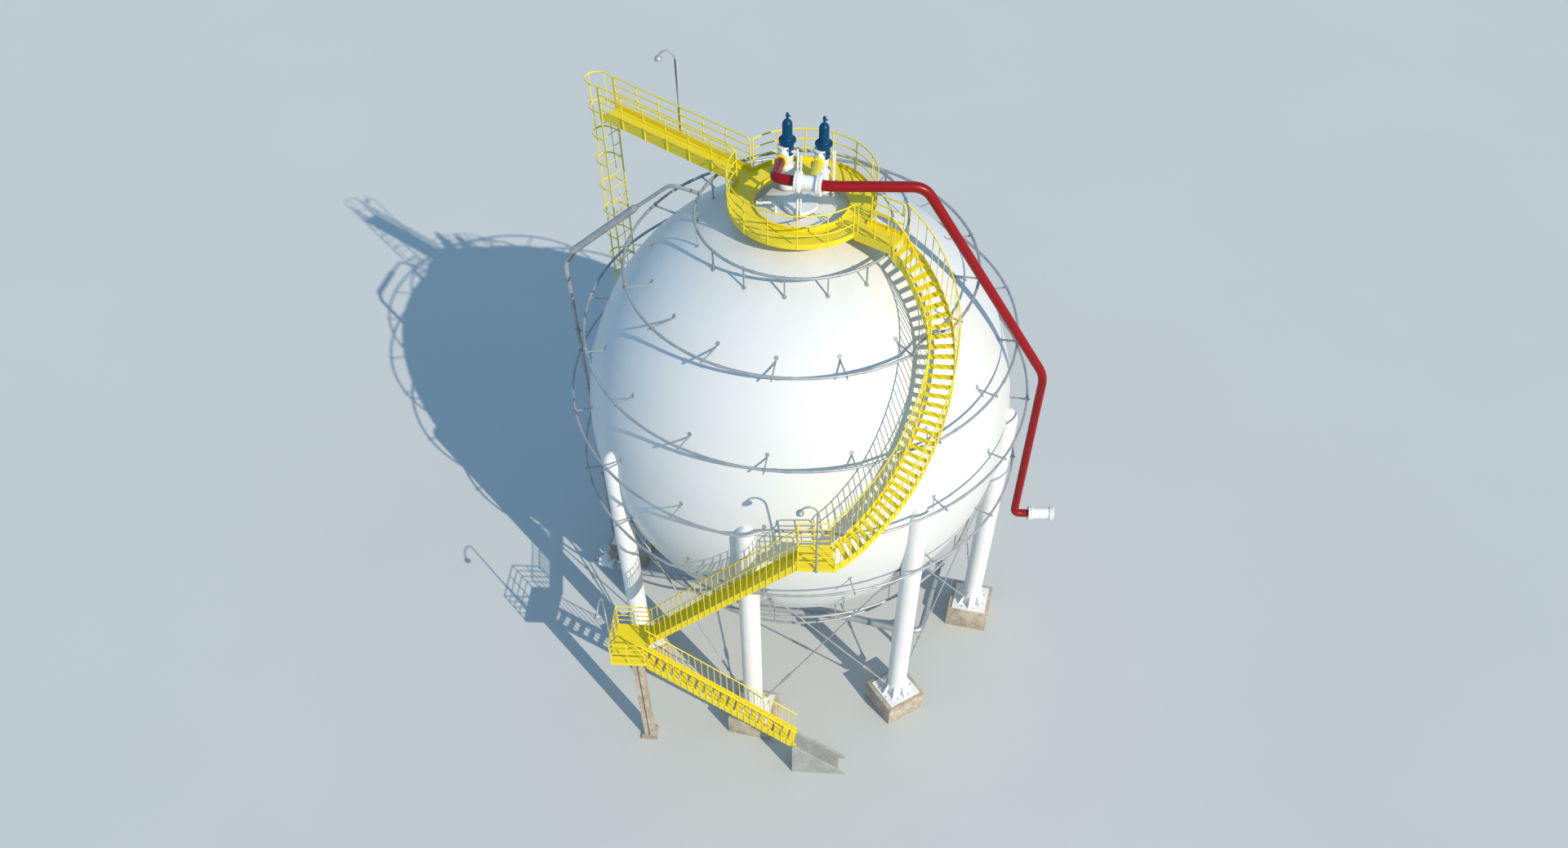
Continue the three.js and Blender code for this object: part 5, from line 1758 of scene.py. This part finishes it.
MIDDLE_LANDING = Landing(
    "middle_landing", ((-0.03, -9.435), (1.24, -9.47), (1.11, -8.45), (-0.03, -8.48)),
    11.6, 0.15, ((0, 1), (2, 3)),
)
LOWER_LANDING = Landing(
    "lower_landing", ((-7.04, -8.55), (-5.72, -8.6), (-5.62, -6.72), (-6.94, -6.66)),
    5.12, 0.13, ((2, 3, 0, 1),), (1.08, 0.82, 0.55, 0.28),
)
STEPS_EDGE = ((0.03, -9.7434), (0.0857, -8.745))
MIDDLE_FLIGHT = Flight(
    "middle_stair", (-0.03, -8.985), (-5.65, 1.67), 11.6, 5.12, 5.86, 29, 0.388, 25,
    (MIDDLE_LANDING.outline[3], MIDDLE_LANDING.outline[0]), LOWER_LANDING.outline[1:3],
    ((1, False, (-0.002, -9.405, 12.69)), (-1, False, (-0.002, -8.51, 12.69)),
     (1, True, (-5.70, -7.783, 6.20)), (-1, True, (-5.65, -6.75, 6.20))),
    foot_plate=True,
)
LOWER_FLIGHT = Flight(
    "lower_stair", (-5.69, -8.2), (0.9675, -0.2531), 5.12, 1.68, 5.86, 19, 0.345, 24,
    LOWER_LANDING.outline[1:3], STEPS_EDGE,
    ((1, False, (-5.70, -7.783, 6.20)), (-1, False, (-5.748, -8.571, 6.20))),
)


@dataclass(frozen=True)
class LandingPost:
    """The slotted concrete post under the lower landing."""

    place: tuple = (-6.06, -8.37)
    half: float = 0.195
    slot_half: float = 0.024
    slot_depth: float = 0.105
    pad_half: float = 0.33
    pad_top: float = 0.09

    def build(self) -> None:
        """Makes the post and its pad."""
        work = Work()
        top = LOWER_LANDING.deck - LOWER_LANDING.depth
        here = level_frame((*self.place, 0), (1, -0.05, 0))
        h, s, d = self.half, self.slot_half, self.half - self.slot_depth
        outline = [(-h, -h), (-s, -h), (-s, -d), (s, -d), (s, -h), (h, -h),
                   (h, h), (s, h), (s, d), (-s, d), (-s, h), (-h, h)]
        frames = [here @ Matrix.Translation((0, 0, z)) for z in (self.pad_top - SINK, top)]
        work.sweep(outline, frames)
        p = self.pad_half
        work.block((-p, -p, 0), (p, p, self.pad_top), here, 0.012, 1)
        work.piece("landing_post_body", FOOTING, ["landing_post"])


@dataclass(frozen=True)
class ConcreteSteps:
    """The cast steps at the foot of the lower flight."""

    start: tuple = (-0.12, -9.735, 0)
    heading: tuple = (0.9984, -0.0557, 0)
    half: float = 0.43
    length: float = 2.15
    top: float = 1.68
    count: int = 9
    going: float = 0.208
    cheek: float = 0.1

    def build(self) -> None:
        """Makes the two sloping cheeks and the stair between them."""
        work = Work()
        place = level_frame(self.start, self.heading)
        cheek_top = self.top + 0.08
        cheek = [(0, 0), (self.length, 0), (self.length, 0.04), (0.09, cheek_top), (0, cheek_top)]
        for side in (-1, 1):
            work.side_plate(cheek, side * (self.half - self.cheek / 2), self.cheek, place)
        rise = self.top / self.count
        outline = [(0, 0), (self.going * self.count, 0)]
        for i in range(self.count, 0, -1):
            level = self.top - rise * (i - 1)
            outline += [(self.going * i, level), (self.going * (i - 1), level)]
        work.side_plate(outline, 0.0, 2 * (self.half - self.cheek) + 0.01, place)
        work.piece("cast_steps", STEPS, ["concrete_steps"])


@dataclass(frozen=True)
class ReliefValve:
    """A relief valve: flanged neck, ribbed body, outlet and navy bonnet."""

    side: str
    axis: tuple
    outlet: tuple
    toward: tuple
    neck: tuple = (0.15, 18.30)
    lower_bowl: tuple = (
        (0, 18.41), (0.15, 18.41), (0.16, 18.50), (0.215, 18.56), (0.225, 18.80), (0.17, 18.87),
        (0.17, 18.92), (0, 18.92),
    )
    middle_bowl: tuple = ((0, 19.01), (0.14, 19.01), (0.15, 19.10), (0.195, 19.18), (0.20, 19.39), (0, 19.39))
    upper_bowl: tuple = (
        (0, 19.01), (0.13, 19.01), (0.14, 19.10), (0.19, 19.2), (0.20, 19.32), (0.20, 19.50),
        (0.17, 19.60), (0.17, 19.64), (0, 19.64),
    )
    rib: tuple = ((0.10, 19.03), (0.16, 19.03), (0.21, 19.34), (0.21, 19.54), (0.205, 19.635), (0.10, 19.635))
    cap: tuple = (
        (0, 19.37), (0.19, 19.37), (0.205, 19.40), (0.212, 19.46), (0.212, 19.80), (0.278, 19.80),
        (0.286, 19.808), (0.286, 19.852), (0.278, 19.86), (0.195, 19.864), (0.176, 19.88),
        (0.165, 19.90), (0.165, 20.34), (0.158, 20.38), (0.12, 20.44), (0.09, 20.468),
        (0.056, 20.48), (0.04, 20.50), (0.038, 20.56), (0.05, 20.575), (0.05, 20.65),
        (0.04, 20.685), (0, 20.69),
    )
    bowl_offset: tuple = (-0.105, -0.06, 0)
    ribs: int = 6
    flange_radius: float = 0.205
    flange_thick: float = 0.06

    @property
    def heading(self) -> Vector:
        """The direction in which the outlet points."""
        return (Vector(self.toward) - Vector(self.outlet)).normalized()

    def up(self, z: float) -> Vector:
        """A point on the valve's axis."""
        return Vector((*self.axis, z))

    def outlet_plate(self, work: Work, shift: float) -> None:
        """Adds a plate of the outlet's flange, its middle moved along the pipe."""
        centre = Vector(self.outlet) + self.heading * shift
        work.plate(centre, self.heading, self.flange_radius, self.flange_thick)

    def body(self) -> None:
        """Makes the white body."""
        work = Work()
        here = Matrix.Translation(self.up(0))
        foot = BALL.level(hypot(*self.axis)) - 0.1
        radius, top = self.neck
        work.turned([(0, foot), (radius, foot), (radius, top), (0, top)], here)
        work.flange(self.up(18.355), UP, 0.285, 0.13, 12)
        work.turned(self.lower_bowl, here)
        work.flange(self.up(18.97), UP, 0.255, 0.11, 12)
        work.turned(self.middle_bowl, here)
        ahead = Vector(self.bowl_offset)
        there = Matrix.Translation(ahead) @ here
        work.turned(self.upper_bowl, there)
        work.plate(self.up(19.665) + ahead, UP, 0.21, 0.05)
        for i in range(self.ribs):
            spoke = there @ Matrix.Rotation(radians(360 / self.ribs * i + 15), 4, "Z")
            work.side_plate(self.rib, 0.0, 0.022, spoke)
        out = Vector(self.outlet)
        work.rod(out - self.heading * 0.7, out - self.heading * 0.03, 0.16, 28, 0.13)
        work.piece(f"valve_body_{self.side}", VALVE, [f"relief_valve_{self.side}"])

    def flange(self) -> None:
        """Makes the bolted flange of the outlet, which is yellow."""
        work = Work()
        self.outlet_plate(work, -0.031)
        work.bolts(Vector(self.outlet), self.heading, 0.172, 12, 0.017, 0.19)
        work.piece(f"valve_flange_{self.side}", YELLOW, [f"relief_valve_{self.side}"])

    def bonnet(self) -> None:
        """Makes the navy bonnet with its wide rim and its knob."""
        work = Work()
        work.turned(self.cap, Matrix.Translation(self.up(0)), 40)
        work.bolts(self.up(19.83), UP, 0.245, 12, 0.017, 0.11)
        knob = self.up(20.60)
        work.rod(knob, knob + Vector((0.10, 0, -0.02)), 0.034, 12, 0.026)
        work.piece(f"valve_bonnet_{self.side}", NAVY, [f"relief_valve_{self.side}"])

    def build(self) -> None:
        """Makes the body, the flange and the bonnet."""
        self.body()
        self.flange()
        self.bonnet()


@dataclass(frozen=True)
class Header:
    """The red discharge header with its white spools, and the short yellow outlet."""

    turn: tuple = (-0.86, -1.22, 20.06)
    spool_from: tuple = (-0.2, -1.395, 20.06)
    spool_to: tuple = (0.62, -1.6, 20.06)
    yellow_end: tuple = (0.3, -1.5, 20.05)
    plane: float = -1.65
    pipe: float = 0.155
    top_bend: float = 0.33
    bend: float = 0.40
    spool_plate: float = 0.07
    route: tuple = ((0.9, 20.06), (3.73, 20.06), (8.6, 13.03), (8.66, 6.18), (9.26, 6.18))
    end_from: tuple = (9.22, -1.65, 6.18)
    end_to: tuple = (10.22, -1.65, 6.18)

    def valves(self) -> tuple[ReliefValve, ReliefValve]:
        """Sets out the two relief valves that it serves.

        Returns:
            The left and the right one.
        """
        return (
            ReliefValve("left", (-0.48, 1.25), (-0.688, 0.514, 19.536), self.turn),
            ReliefValve("right", (0.68, 1.05), (0.474, 0.463, 19.483), self.yellow_end),
        )

    def red(self) -> None:
        """Makes the red pipes."""
        work = Work()
        left = self.valves()[0]
        start = Vector(left.outlet) + left.heading * 0.001
        a, b = Vector(self.spool_from), Vector(self.spool_to)
        work.pipe(rounded([start, Vector(self.turn), a.lerp(b, 0.05)], self.top_bend, 8), self.pipe, 28)
        corners = [b.lerp(a, 0.05), *(Vector((x, self.plane, z)) for x, z in self.route)]
        work.pipe(rounded(corners, self.bend, 8), self.pipe, 28)
        work.piece("header_pipe", RED, ["relief_header"])
        flange = Work()
        left.outlet_plate(flange, 0.032)
        flange.piece("header_flange", YELLOW, ["relief_header"])

    def spool(
        self, work: Work, start: Vector, end: Vector, radius: float, flange: float, bolts: int
    ) -> None:
        """Adds a flanged length of pipe.

        Args:
            work: the mesh that it joins.
            start: the middle of one end.
            end: the middle of the other end.
            radius: the pipe's radius.
            flange: its flanges' radius.
            bolts: how many bolts each flange has.
        """
        along = (end - start).normalized()
        work.rod(start + along * 0.12, end - along * 0.12, radius, 36)
        for near, inward in ((start, along), (end, -along)):
            for gap in (0.038, 0.122):
                work.plate(near + inward * gap, along, flange, self.spool_plate, 36)
            work.bolts(near + inward * 0.08, along, flange * 0.87, bolts, 0.018, 0.20)
            work.rod(near + inward * 0.15, near + inward * 0.24, flange * 0.82, 36, radius)

    def white(self) -> None:
        """Makes the white spools at the top and at the end."""
        work = Work()
        self.spool(work, Vector(self.spool_from), Vector(self.spool_to), 0.215, 0.325, 20)
        self.spool(work, Vector(self.end_from), Vector(self.end_to), 0.222, 0.275, 16)
        work.piece("header_spools", VALVE, ["relief_header"])

    def yellow(self) -> None:
        """Makes the yellow outlet of the right valve."""
        work = Work()
        right = self.valves()[1]
        start = Vector(right.outlet) + right.heading * 0.001
        work.rod(start, start.lerp(Vector(self.yellow_end), 0.86), self.pipe, 28)
        right.outlet_plate(work, 0.032)
        work.piece("outlet_pipe", YELLOW, ["yellow_outlet"])

    def build(self) -> None:
        """Makes the header, outlet and valves."""
        for valve in self.valves():
            valve.build()
        self.red()
        self.white()
        self.yellow()


@dataclass(frozen=True)
class Crown:
    """What stands inside the platform: manway, vent pipes, angle post and sampling pipe."""

    cover: tuple = (-0.03, 0.02)
    cover_radius: float = 0.555
    cover_plates: tuple = (18.383, 18.441)
    vent_radius: float = 0.036
    vent_y: float = -0.577
    vents: tuple = ((-0.143, 20.57), (-0.04, 20.37))
    angle_place: tuple = (1.03, 0.85)
    angle_top: float = 19.72
    angle_size: float = 0.09
    stub_place: tuple = (-0.84, -0.2)
    stub_level: float = 18.6
    stub_reach: float = 0.6

    def manway(self) -> None:
        """Makes the manway and its cover."""
        work = Work()
        centre = Vector((*self.cover, 0))
        low = BALL.level(0.0) - 0.06
        work.turned([(0, low), (0.43, low), (0.43, 18.36), (0, 18.36)], Matrix.Translation(centre), 48)
        for z in self.cover_plates:
            work.plate(centre + UP * z, UP, self.cover_radius, 0.055, 64)
        work.bolts(centre + UP * 18.41, UP, self.cover_radius - 0.05, 24, 0.02, 0.15)
        work.piece("manway_cover", VALVE, ["manhole"])

    def vent_pair(self) -> None:
        """Makes the two thin vent pipes with their couplings, ties and side arm."""
        work = Work()
        y = self.vent_y
        (left, left_top), (right, _) = self.vents
        for x, top in self.vents:
            foot = Vector((x, y, BALL.level(0.6) - 0.02))
            work.rod(foot, lifted(foot, top), self.vent_radius, 14)
            work.plate(foot + UP * 0.04, UP, 0.07, 0.03, 20)
            for z in (18.85, 19.45, 20.05):
                work.plate(lifted(foot, z), UP, 0.046, 0.06, 16)
            work.bar(lifted(foot, 18.44), Vector((x, -0.5, 18.44)), 0.03)
        for z in (19.0, 19.6, 20.2):
            work.bar(Vector((left, y, z)), Vector((right, y, z)), 0.03)
        arm = Vector((left, y, left_top - 0.06))
        work.bar(arm, arm - Vector((0.19, 0, 0)), 0.05)
        work.piece("vent_pipes", VALVE, [])

    def angle_post(self) -> None:
        """Makes the post with the short arm behind the right valve."""
        work = Work()
        x, y = self.angle_place
        foot = Vector((x, y, BALL.level(hypot(x, y)) - 0.03))
        half = self.angle_size / 2
        work.bar(foot, lifted(foot, self.angle_top), self.angle_size)
        arm = self.angle_top - half
        work.bar(Vector((x - half, y, arm)), Vector((x - 0.1, y, arm)), self.angle_size - 0.004)
        work.piece("angle_post_bar", VALVE, ["angle_post"])

    def stub(self) -> None:
        """Makes the short sampling pipe with its block valve and end flange."""
        work = Work()
        x, y = self.stub_place
        along = Vector((1, 0, 0))
        end = Vector((x - self.stub_reach, y, self.stub_level))
        foot = Vector((x, y, BALL.level(hypot(x, y)) - 0.02))
        work.pipe(rounded([foot, Vector((x, y, self.stub_level)), end], 0.13, 8), 0.036, 16)
        work.plate(foot + UP * 0.03, UP, 0.08, 0.03, 24)
        work.plate(end, along, 0.075, 0.04, 24)
        work.bolts(end, along, 0.055, 6, 0.008, 0.06)
        body, half = end + along * 0.125, Vector((0.045, 0.045, 0.045))
        work.block(body - half, body + half, bevel=0.01)
        for reach in (0.068, 0.182):
            work.plate(end + along * reach, along, 0.06, 0.02, 24)
        work.rod(body, body + UP * 0.11, 0.012, 10)
        work.plate(body + UP * 0.11, UP, 0.05, 0.016, 20)
        work.piece("stub_pipe_run", VALVE, ["stub_pipe"])

    def build(self) -> None:
        """Makes everything on the crown."""
        self.manway()
        self.vent_pair()
        self.angle_post()
        self.stub()


@dataclass(frozen=True)
class ProductPipe:
    """The pipe under the ball, with its valve, supports and nozzle."""

    z: float = 0.85
    radius: float = 0.135
    corners: tuple = ((-9.15, 0.45), (-7.2, -0.3), (-4.25, -0.8), (-1.65, -2.3),
                      (2.3, -2.8), (4.2, -3.4), (5.35, -3.5), (6.4, 0.4))
    supports: tuple = ((-7.2, -0.3), (-3.0, -1.54), (0.3, -2.547), (4.2, -3.38), (6.1, -0.72))
    branch_y: float = -2.509
    branch: float = 0.11
    leg_half: float = 0.06
    leg_plate: float = 0.16
    wheel: float = 0.21

    def valve(self, near: Vector, far: Vector) -> None:
        """Makes the white block valve with its stem and handwheel.

        Args:
            near: the middle of one end.
            far: the middle of the other end.
        """
        work = Work()
        heading = (far - near).normalized()
        middle = (near + far) / 2
        work.rod(near, far, 0.19, 28)
        for end in (near, far):
            work.flange(end, heading, 0.23, 0.11, 12)
        work.rod(middle, middle + UP * 0.48, 0.11, 24)
        work.plate(middle + UP * 0.34, UP, 0.17, 0.05)
        work.rod(middle + UP * 0.47, middle + UP * 0.92, 0.024, 12)
        hub = middle + UP * 0.90
        turns = [2 * pi * i / 28 for i in range(28)]
        wheel = [hub + Vector((cos(turn), sin(turn), 0)) * self.wheel for turn in turns]
        work.pipe(wheel, 0.02, 8, closed=True)
        for angle in (0.3, 0.3 + pi / 2):
            arm = Vector((cos(angle), sin(angle), 0)) * 0.2
            work.rod(hub - arm, hub + arm, 0.014, 8)
        work.piece("product_valve", VALVE, [])

    def build(self) -> None:
        """Makes the pipe, its supports, the branch to the ball and the valve."""
        work = Work()
        points = [Vector((x, y, self.z)) for x, y in self.corners]
        work.pipe(rounded(points, 0.35), self.radius, 24)
        heading = (points[1] - points[0]).normalized()
        finish = (points[-1] - points[-2]).normalized()
        work.plate(points[-1] - finish * 0.03, finish, 0.23, 0.055)
        for x, y in self.supports:
            work.bar(Vector((x, y, 0.012)), Vector((x, y, self.z - 0.09)), 0.12, 0.12)
            work.block((x - 0.11, y - 0.11, 0), (x + 0.11, y + 0.11, 0.016))
            work.block((x - 0.09, y - 0.09, self.z - 0.16), (x + 0.09, y + 0.09, self.z - 0.1))
        foot = BALL.centre - BALL.radius
        tee = Vector((0, self.branch_y, self.z))
        work.pipe(rounded([tee, Vector((0, 0, self.z)), Vector((0, 0, foot + 0.01))], 0.4), self.branch, 24)
        work.flange(Vector((0, 0, foot - 0.26)), UP, 0.21, 0.10, 12)
        half, base = self.leg_half, self.leg_plate
        work.block((-half, -half, 0.02), (half, half, self.z + 0.06))
        work.block((-base, -base, 0), (base, base, 0.025))
        work.piece("product_pipe", ZINC, ["bottom_pipe"])
        self.valve(points[0] + heading * 0.33, points[0] + heading * 0.9)


@dataclass(frozen=True)
class Lamp:
    """A gooseneck lamp on a pole clamped to a deck's edge."""

    name: str
    foot: tuple
    height: float
    inward: tuple
    gap: float
    lean: tuple = (-1, 0, 0)
    pole: float = 0.036
    neck: float = 0.029
    reach: float = 0.54
    rise: float = 0.29
    bend: float = 165.0
    thick_share: float = 0.45

    def build(self) -> None:
        """Makes the pole, its clamps and the head."""
        work = Work()
        foot, inward = Vector(self.foot), Vector(self.inward).normalized()
        top = foot + UP * self.height
        lower = foot + UP * self.height * self.thick_share
        work.rod(foot, lower, self.pole, 16)
        turns = [radians(self.bend * i / 16) for i in range(17)]
        lean = Vector(self.lean) * self.reach / 2
        neck = [top + lean * (1 - cos(t)) + UP * self.rise * sin(t) for t in turns]
        work.pipe([lower - UP * 0.02, *neck], self.neck, 14)
        for lift in (0.06, 0.10):
            middle = foot + UP * lift
            near, far = middle + inward * (self.gap - TOUCH), middle - inward * (self.pole + 0.01)
            work.bar(near, far, 0.10, 0.018)
        place = Matrix.Translation(neck[-1])
        work.turned([(0, 0.062), (0.042, 0.06), (0.06, 0.05), (0.085, 0.035), (0.112, 0.0), (0.124, -0.03),
                     (0.125, -0.078), (0.117, -0.08), (0.108, -0.055), (0, -0.05)], place, 28)
        work.turned([(0, -0.05), (0.075, -0.05), (0.07, -0.066), (0.04, -0.076), (0, -0.079)], place, 20)
        work.piece(f"{self.name}_pole", ZINC, [self.name])


def lamps() -> list[Lamp]:
    """Sets out the three lamps, each beside the deck that carries it.

    Returns:
        The lamps from the top one down.
    """
    gap = 0.0363
    walkway = Walkway()
    line = walkway.line + 0.024 + gap
    foot = walkway.at(5.556, -line, PLATFORM.deck_top - 0.12)
    inward = walkway.place.col[1].to_3d()
    made = [Lamp("lamp_walkway", tuple(foot), 2.61, tuple(inward), line - walkway.half)]
    for name, landing, corner, share, drop, height, lean, reach in (
        ("lamp_middle", MIDDLE_LANDING, 0, 0.5, 0.14, 2.73, (-1, 0, 0), 0.56),
        ("lamp_lower", LOWER_LANDING, 3, 0.66, 0.12, 3.05, (-0.12, -0.99, 0), 0.80),
    ):
        a, b = Vector(landing.outline[corner]), Vector(landing.outline[(corner + 1) % 4])
        along = (b - a).normalized()
        inward = Vector((-along.y, along.x))
        foot = lifted(a.lerp(b, share) - inward * gap, landing.deck - drop)
        made.append(Lamp(name, tuple(foot), height, (*inward, 0), gap, lean, reach=reach))
    return made


@dataclass(frozen=True)
class Studio:
    """Pale floor, low sun, soft sky and the camera at the photo's angle."""

    camera_place: tuple = (0.0, -34.79, 40.58)
    focal_pixels: float = 1423.63
    image_width: int = 1920
    image_height: int = 1038
    centre_row: float = 908.8
    yaw: float = -1.073
    pitch: float = 57.326
    roll: float = -0.266
    sensor: float = 36.0
    sun_direction: tuple = (-0.540, 0.646, -0.539)
    sun_strength: float = 4.0
    sun_angle: float = 0.4
    sun_colour: tuple = (1.0, 0.90, 0.72)
    sky_colour: tuple = (0.38, 0.66, 0.98)
    sky_strength: float = 0.64
    floor_colour: tuple = (0.56, 0.575, 0.575)
    floor_side: float = 260.0
    view_depth: float = 500.0

    def camera(self) -> None:
        """Makes the camera."""
        data = bpy.data.cameras.new("camera")
        data.sensor_width = self.sensor
        data.lens = self.focal_pixels * self.sensor / self.image_width
        data.shift_y = (self.centre_row - self.image_height / 2) / self.image_width
        data.clip_end = self.view_depth
        yaw, pitch, roll = (radians(a) for a in (self.yaw, self.pitch, self.roll))
        forward = Vector((sin(yaw) * cos(pitch), cos(yaw) * cos(pitch), -sin(pitch)))
        level = Vector((cos(yaw), -sin(yaw), 0))
        rise = level.cross(forward)
        right = cos(roll) * level + sin(roll) * rise
        head = cos(roll) * rise - sin(roll) * level
        made = add_object("camera", data)
        made.matrix_world = framed(self.camera_place, right, head, -forward)
        bpy.context.scene.camera = made

    def lights(self) -> None:
        """Makes the sun and the sky."""
        data = bpy.data.lights.new("sun", "SUN")
        data.energy = self.sun_strength
        data.color = self.sun_colour
        data.angle = radians(self.sun_angle)
        turn = Vector(self.sun_direction).to_track_quat("-Z", "Y")
        add_object("sun", data).matrix_world = turn.to_matrix().to_4x4()
        world = bpy.data.worlds.new("sky")
        world.use_nodes = True
        back = world.node_tree.nodes["Background"]
        back.inputs[0].default_value = (*self.sky_colour, 1)
        back.inputs[1].default_value = self.sky_strength
        bpy.context.scene.world = world
        bpy.context.scene.view_settings.view_transform = "Standard"

    def floor(self) -> None:
        """Makes the pale floor."""
        grid = bmesh.new()
        bmesh.ops.create_grid(grid, x_segments=1, y_segments=1, size=self.floor_side / 2)
        data = bpy.data.meshes.new("floor")
        grid.to_mesh(data)
        grid.free()
        shader = Shader("floor_paint")
        cloud = shader.noise(0.06, 3.0).ramp(0.3, 0.7)
        shade = tuple(channel * 0.97 for channel in self.floor_colour)
        shader.set(Base_Color=shader.mix(cloud, self.floor_colour, shade), Roughness=0.9)
        data.materials.append(shader.material)
        made = add_object("floor", data)

    def build(self) -> None:
        """Sets up the studio."""
        self.camera()
        self.lights()
        self.floor()


def main() -> None:
    """Builds the studio and every sub-assembly in order."""
    logging.basicConfig(level=logging.INFO, format="%(name)s %(message)s")
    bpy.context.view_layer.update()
    assemblies: list[Any] = [
        Studio(), BALL, COLUMNS, TieRods(), *RINGS, Riser(), PLATFORM, Walkway(), CurvedStair(),
        MIDDLE_LANDING, MIDDLE_FLIGHT, LOWER_LANDING, LOWER_FLIGHT, LandingPost(), ConcreteSteps(),
        Header(), Crown(), ProductPipe(), *lamps(),
    ]
    for assembly in assemblies:
        assembly.build()


if __name__ == "__main__":
    main()
